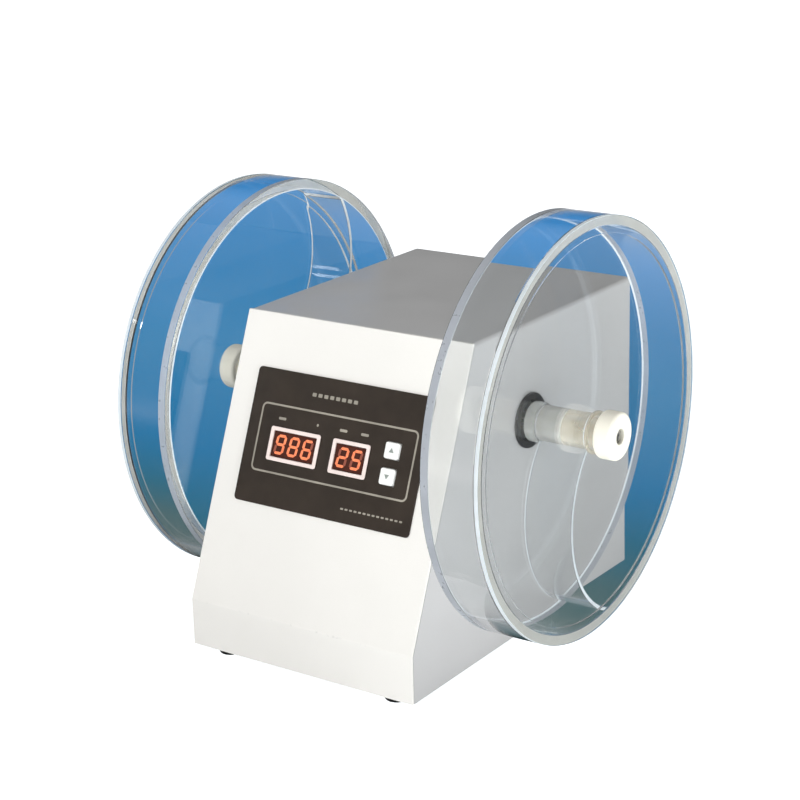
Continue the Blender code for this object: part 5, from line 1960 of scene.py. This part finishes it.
@dataclass
class PowerEntry:
    """The mains inlet with its fuse drawer, the power switch and the supply behind them.

    A plan is a width, a height and a corner. Levels are measured out from the rear panel.
    """

    flange: Plan = (0.032, 0.038, 0.0025)
    mouth: float = 0.0018
    body: Plan = (0.028, 0.034, 0.001)
    body_levels: Flat = (-0.020, 0.0008)
    socket_half: float = 0.012
    socket_ends: Flat = (-0.00275, 0.01375)
    socket_chamfer: float = 0.004
    socket_floor: float = -0.0142
    drawer_drop: float = 0.0105
    drawer_room: Plan = (0.0226, 0.007, 0.0004)
    drawer_floor: float = -0.0125
    pins: Sequence[Flat] = ((-0.007, 0.0055), (0.0, 0.0095), (0.007, 0.0055))
    pin_half: Flat = (0.001, 0.002)
    pin_levels: Flat = (-0.0145, -0.0047)
    tray_face: Plan = (0.024, 0.0084, 0.0012)
    tray_half: Flat = (0.011, 0.0032)
    ridge_half: Flat = (0.005, 0.0004)
    ridge_offset: float = 0.0016
    switch_flange: Plan = (0.016, 0.02425, 0.0012)
    switch_body: Plan = (0.013, 0.02125, 0.0008)
    switch_floor: float = -0.0125
    rocker_room: Flat = (0.0053, -0.0113)
    rocker_half: float = 0.005
    rocker_reach: Flat = (0.0082, 0.004)
    rocker_pivot: float = -0.0019
    rocker_tilt: float = math.radians(8)
    past: float = 0.01

    def build_inlet(self) -> None:
        """The inlet's body with a chamfered socket and three plated pins."""
        place = REAR @ Matrix.Translation((*INLET_SPOT, 0.0))
        form = Form("inlet_body", BLACK, CONTACT)
        form.plate([soft_box(*self.flange)], (GAP, self.mouth), place, 0.0004)
        form.plate([soft_box(*self.body)], self.body_levels, place, 0.0003)
        body = form.done()
        form = Form("inlet_rooms", BLACK)
        half, cut_off = self.socket_half, self.socket_chamfer
        low, top = self.socket_ends
        socket = [(-half, low), (half, low), (half, top - cut_off), (half - cut_off, top)]
        socket += [(cut_off - half, top), (-half, top - cut_off)]
        form.plate([socket], (self.socket_floor, self.past), place)
        drawer = soft_box(*self.drawer_room, (0.0, -self.drawer_drop))
        form.plate([drawer], (self.drawer_floor, self.past), place)
        cut(body, form.done())
        form = Form("inlet_pins", CONTACT)
        (wide, tall), (back, tip) = self.pin_half, self.pin_levels
        for x, y in self.pins:
            form.block((x - wide, y - tall, back), (x + wide, y + tall, tip), place, 0.0003)
        dress(form.done(), BLACK, "power_inlet", stands_in=False)
        dress(finish_mesh(body), BLACK, "power_inlet")

    def build_drawer(self) -> None:
        """The fuse drawer, with two grip ridges on its face."""
        x, y = INLET_SPOT
        place = REAR @ Matrix.Translation((x, y - self.drawer_drop, 0.0))
        form = Form("fuse_tray", BLACK)
        form.plate([soft_box(*self.tray_face)], (0.0021, 0.0029), place, 0.0003)
        wide, tall = self.tray_half
        form.block((-wide, -tall, -0.0122), (wide, tall, 0.0022), place, 0.0003)
        wide, tall = self.ridge_half
        for rise in (-self.ridge_offset, self.ridge_offset):
            form.block((-wide, rise - tall, 0.0026), (wide, rise + tall, 0.0033), place, 0.0002)
        dress(form.done(), BLACK, "fuse_drawer")

    def build_switch(self) -> None:
        """The switch's housing, with room for the rocker."""
        place = REAR @ Matrix.Translation((*SWITCH_SPOT, 0.0))
        form = Form("switch_frame", BLACK)
        form.plate([soft_box(*self.switch_flange)], (GAP, 0.0021), place, 0.0004)
        form.plate([soft_box(*self.switch_body)], (self.switch_floor, 0.0008), place, 0.0002)
        housing = form.done()
        form = Form("rocker_room", BLACK)
        wide, floor = self.rocker_room
        tall = math.hypot(*self.rocker_reach) + GAP
        form.block((-wide, -tall, floor), (wide, tall, self.past), place)
        cut(housing, form.done())
        dress(finish_mesh(housing), BLACK, "switch_housing")

    def build_rocker(self) -> None:
        """The rocker, with a stroke and a ring marked on its two faces."""
        place = REAR @ Matrix.Translation((*SWITCH_SPOT, self.rocker_pivot))
        pivot = place @ Matrix.Rotation(self.rocker_tilt, 4, "X")
        reach, rise = self.rocker_reach
        start = math.atan2(rise, reach)
        outline = arc((0, 0), math.hypot(reach, rise), math.pi - start, 2 * math.pi + start, 28)
        outline += [(0.0042, 0.0031), (0.0, 0.0028), (-0.0042, 0.0031)]
        form = Form("switch_rocker", BLACK, SWITCH_MARK)
        form.plate([outline], (-self.rocker_half, self.rocker_half), pivot @ SIDE_ON, 0.0003)
        stroke = [soft_box(0.0005, 0.0026, 0.0002)]
        ring = [arc((0, 0), radius, 0, 2 * math.pi, 24)[:-1] for radius in (0.0013, 0.0009)]
        for sign, mark in ((1, stroke), (-1, ring)):
            tilt = Matrix.Rotation(math.atan2(0.0009, 0.004) * sign, 4, "X")
            face = pivot @ Matrix.Translation((0, sign * 0.0052, 0.00335)) @ tilt
            form.plate(mark, (-0.0002, 0.00008), face, 0.0, 1)
        dress(form.done(), BLACK, "power_rocker")

    def build(self) -> None:
        """Builds the power pieces and coats the supply."""
        self.build_inlet()
        self.build_drawer()
        self.build_switch()
        self.build_rocker()
        coat("transformer", DARK_METAL_AND_SHADE)
        coat("power_board", MASK)


@dataclass(frozen=True)
class Lamp:
    """A rectangular soft light.

    Attributes:
        name: Its name.
        spot: Where it stands.
        size: Its width and height.
        power: Its power in watts.
        mirrored: Whether it only makes glints on polished faces, or only lights the rest.
    """

    name: str
    spot: Spot
    size: Flat
    power: float
    mirrored: bool = True

    def hang(self, aim: Sequence[float]) -> None:
        """Hangs the light, turned to what it points at.

        Args:
            aim: The point.
        """
        data = bpy.data.lights.new(self.name, "AREA")
        data.shape = "RECTANGLE"
        data.size, data.size_y = self.size
        data.energy = self.power
        made = bpy.data.objects.new(self.name, data)
        bpy.context.scene.collection.objects.link(made)
        made.location = self.spot
        turned = Vector(aim) - Vector(self.spot)
        made.rotation_euler = turned.to_track_quat("-Z", "Y").to_euler()
        made.visible_camera = False
        made.visible_diffuse = not self.mirrored
        made.visible_glossy = self.mirrored
        made.visible_transmission = self.mirrored


@dataclass
class Studio:
    """The floor, the lights, the surroundings and the camera.

    Attributes:
        dim: What a mirrored ray that goes to the right sees in place of the wall.
        tubes: The spot and glare of each tube lamp.
        behind: Between which values of a ray's Y the room gives way to the wall.
        rightwards: Between which values of a ray's X it counts as going to the right.
        wall_tilt: How much higher the wall's tones stand for each unit of a ray's X.
        wall_zero: The X at which they stand level, with its sign changed.
        wall_stops: The wall's colours by a ray's Z.
        room_stops: What acrylic shows of the room before and beside the tester, by a ray's Z.
        mirror_stops: What polished faces mirror, by a ray's Z.
        soft_light: The strength of the soft light, by a ray's Z.
        sides: How much of it comes from the left and from the right.
    """

    eye: Spot = (0.8001, -1.1566, 0.6153)
    yaw: float = math.radians(-35.049)
    pitch: float = math.radians(-17.715)
    roll: float = math.radians(-1.513)
    lens: float = 90.746
    sensor: float = 36.0
    aim: Spot = (0.0, 0.0, 0.15)
    dim: Colour = light(62, 62, 60)
    lamps: Sequence[Lamp] = (
        Lamp("key", (0.0, -2.1, 1.4), (1.4, 1.0), 38.6, False),
        Lamp("fill", (2.4, -0.5, 0.4), (1.0, 1.0), 19.5, False),
        Lamp("rear", (0.3, 2.6, 0.5), (1.4, 0.8), 26.0, False),
    )
    tubes: Sequence[tuple[Spot, float]] = (
        ((-0.562, -0.494, 0.336), 10.7),
        ((-0.562, -0.494, 0.421), 10.7),
        ((-0.562, -0.494, 0.501), 10.7),
    )
    tube_size: Flat = (0.042, 0.032)
    behind: Flat = (0.35, 0.6)
    rightwards: Flat = (0.0, 0.2)
    wall_tilt: float = 0.15
    wall_zero: float = 0.44
    sides: Flat = (0.2, 1.35)
    wall_stops: Stops = (
        (-1.0, light(166, 174, 178)),
        (-0.58, light(128, 150, 156)),
        (-0.46, light(62, 98, 96)),
        (-0.41, light(56, 100, 106)),
        (-0.385, light(4, 104, 130)),
        (-0.35, light(4, 122, 176)),
        (-0.30, light(58, 140, 192)),
        (-0.265, light(34, 134, 194)),
        (-0.21, light(44, 144, 214)),
        (0.4, light(70, 156, 230)),
    )
    room_stops: Stops = (
        (-1.0, light(170, 173, 174)),
        (-0.3, light(164, 167, 168)),
        (0.0, light(170, 174, 178)),
        (1.0, light(140, 144, 148)),
    )
    mirror_stops: Stops = (
        (-1.0, light(26, 30, 32)),
        (-0.355, light(26, 32, 36)),
        (-0.30, light(110, 112, 112)),
        (-0.20, (1.15, 1.12, 1.10)),
        (-0.05, light(160, 162, 164)),
        (0.2, light(84, 84, 84)),
        (0.42, light(84, 84, 84)),
        (0.6, light(210, 212, 214)),
        (1.0, light(226, 228, 230)),
    )
    soft_light: Sequence[Flat] = (
        (-1.0, 0.40),
        (-0.05, 0.40),
        (0.05, 0.625),
        (0.5, 0.31),
        (1.0, 0.11),
    )
    floor_low: Spot = (-4, -4, -0.02)
    floor_high: Spot = (4, 4, -0.0001)

    def build_camera(self) -> None:
        """The camera at the photograph's place."""
        flat, rise = math.cos(self.pitch), math.sin(self.pitch)
        ahead = Vector((math.sin(self.yaw) * flat, math.cos(self.yaw) * flat, rise))
        right = ahead.cross(Vector((0, 0, 1))).normalized()
        above = right.cross(ahead)
        across = right * math.cos(self.roll) + above * math.sin(self.roll)
        upward = above * math.cos(self.roll) - right * math.sin(self.roll)
        data = bpy.data.cameras.new("photo_camera")
        data.lens = self.lens
        data.sensor_width = self.sensor
        data.clip_end = 50.0
        camera = bpy.data.objects.new("photo_camera", data)
        bpy.context.scene.collection.objects.link(camera)
        turn = Matrix((across, upward, -ahead)).transposed()
        camera.matrix_world = Matrix.Translation(self.eye) @ turn.to_4x4()
        bpy.context.scene.camera = camera

    def build_floor(self) -> None:
        """A pale floor, which the clear drums show as the blue studio wall instead."""
        form = Form("pale_floor", LIGHT_TABLE)
        form.block(self.floor_low, self.floor_high, UNMOVED)
        floor = form.done()
        floor.visible_transmission = False
        floor.visible_glossy = False

    def build_world(self) -> None:
        """White behind the object, soft light round it and a blue wall seen through acrylic."""
        world = bpy.data.worlds.new("studio")
        bpy.context.scene.world = world
        world.use_nodes = True
        tree = Tree(world.node_tree)
        world.node_tree.nodes.clear()
        path = tree.add("ShaderNodeLightPath").outputs
        place = tree.add("ShaderNodeTexCoord").outputs["Generated"]
        across, ahead, rise = tree.add("ShaderNodeSeparateXYZ", {0: place}).outputs
        behind = tree.between(ahead, self.behind)
        rightwards = tree.between(across, self.rightwards)
        once_mirrored = tree.sum("MINIMUM", path["Glossy Depth"], rightwards)
        room = tree.ramp(rise, self.room_stops)
        tilt = tree.sum("MULTIPLY", tree.sum("ADD", across, self.wall_zero), self.wall_tilt)
        tilted = tree.sum("ADD", rise, tilt)
        wall = tree.blend(once_mirrored, tree.ramp(tilted, self.wall_stops), self.dim)
        wall = tree.blend(behind, room, wall)
        share = tree.between(across, (-1.0, 1.0), self.sides)
        soft = [(level, (strength,) * 3) for level, strength in self.soft_light]
        around = tree.blend(share, (0.0, 0.0, 0.0), tree.ramp(rise, soft))
        mirrored = tree.ramp(rise, self.mirror_stops)
        colour = tree.blend(path["Is Glossy Ray"], around, mirrored)
        colour = tree.blend(path["Is Transmission Ray"], colour, wall)
        colour = tree.blend(path["Is Camera Ray"], colour, (1.0, 1.0, 1.0))
        shade = tree.add("ShaderNodeBackground", {"Color": colour, "Strength": 1.0})
        tree.add("ShaderNodeOutputWorld", {"Surface": shade.outputs[0]})

    def build_lamps(self) -> None:
        """The broad lights, and the tubes whose glints show on the left arm."""
        for lamp in self.lamps:
            lamp.hang(self.aim)
        length, width = self.tube_size
        for i, (spot, glare) in enumerate(self.tubes, 1):
            power = glare * math.pi * length * width
            Lamp(f"tube_{i}", spot, self.tube_size, power).hang(self.aim)

    def build(self) -> None:
        """Builds the surroundings."""
        scene = bpy.context.scene
        scene.view_settings.view_transform = "Standard"
        scene.view_settings.look = "None"
        scene.cycles.max_bounces = 24
        scene.cycles.transmission_bounces = 20
        scene.cycles.glossy_bounces = 6
        scene.cycles.diffuse_bounces = 3
        scene.cycles.sample_clamp_indirect = 4.0
        self.build_camera()
        self.build_floor()
        self.build_world()
        self.build_lamps()


# How far each drum's arm is turned, as the photograph shows it
RIGHT_ARM_TURN = math.radians(-50.8)
LEFT_ARM_TURN = math.radians(91.7)


def main() -> None:
    """Builds the tester and its studio, piece by piece."""
    logging.basicConfig(level=logging.INFO, format="%(name)s: %(message)s")
    Studio().build()
    assemblies = (
        CaseShell(),
        Keypad(),
        Drum(Side.RIGHT, RIGHT_ARM_TURN),
        Drum(Side.LEFT, LEFT_ARM_TURN),
        Drive(),
        PowerEntry(),
    )
    for assembly in assemblies:
        log.info("building %s", type(assembly).__name__)
        assembly.build()


if __name__ == "__main__":
    main()
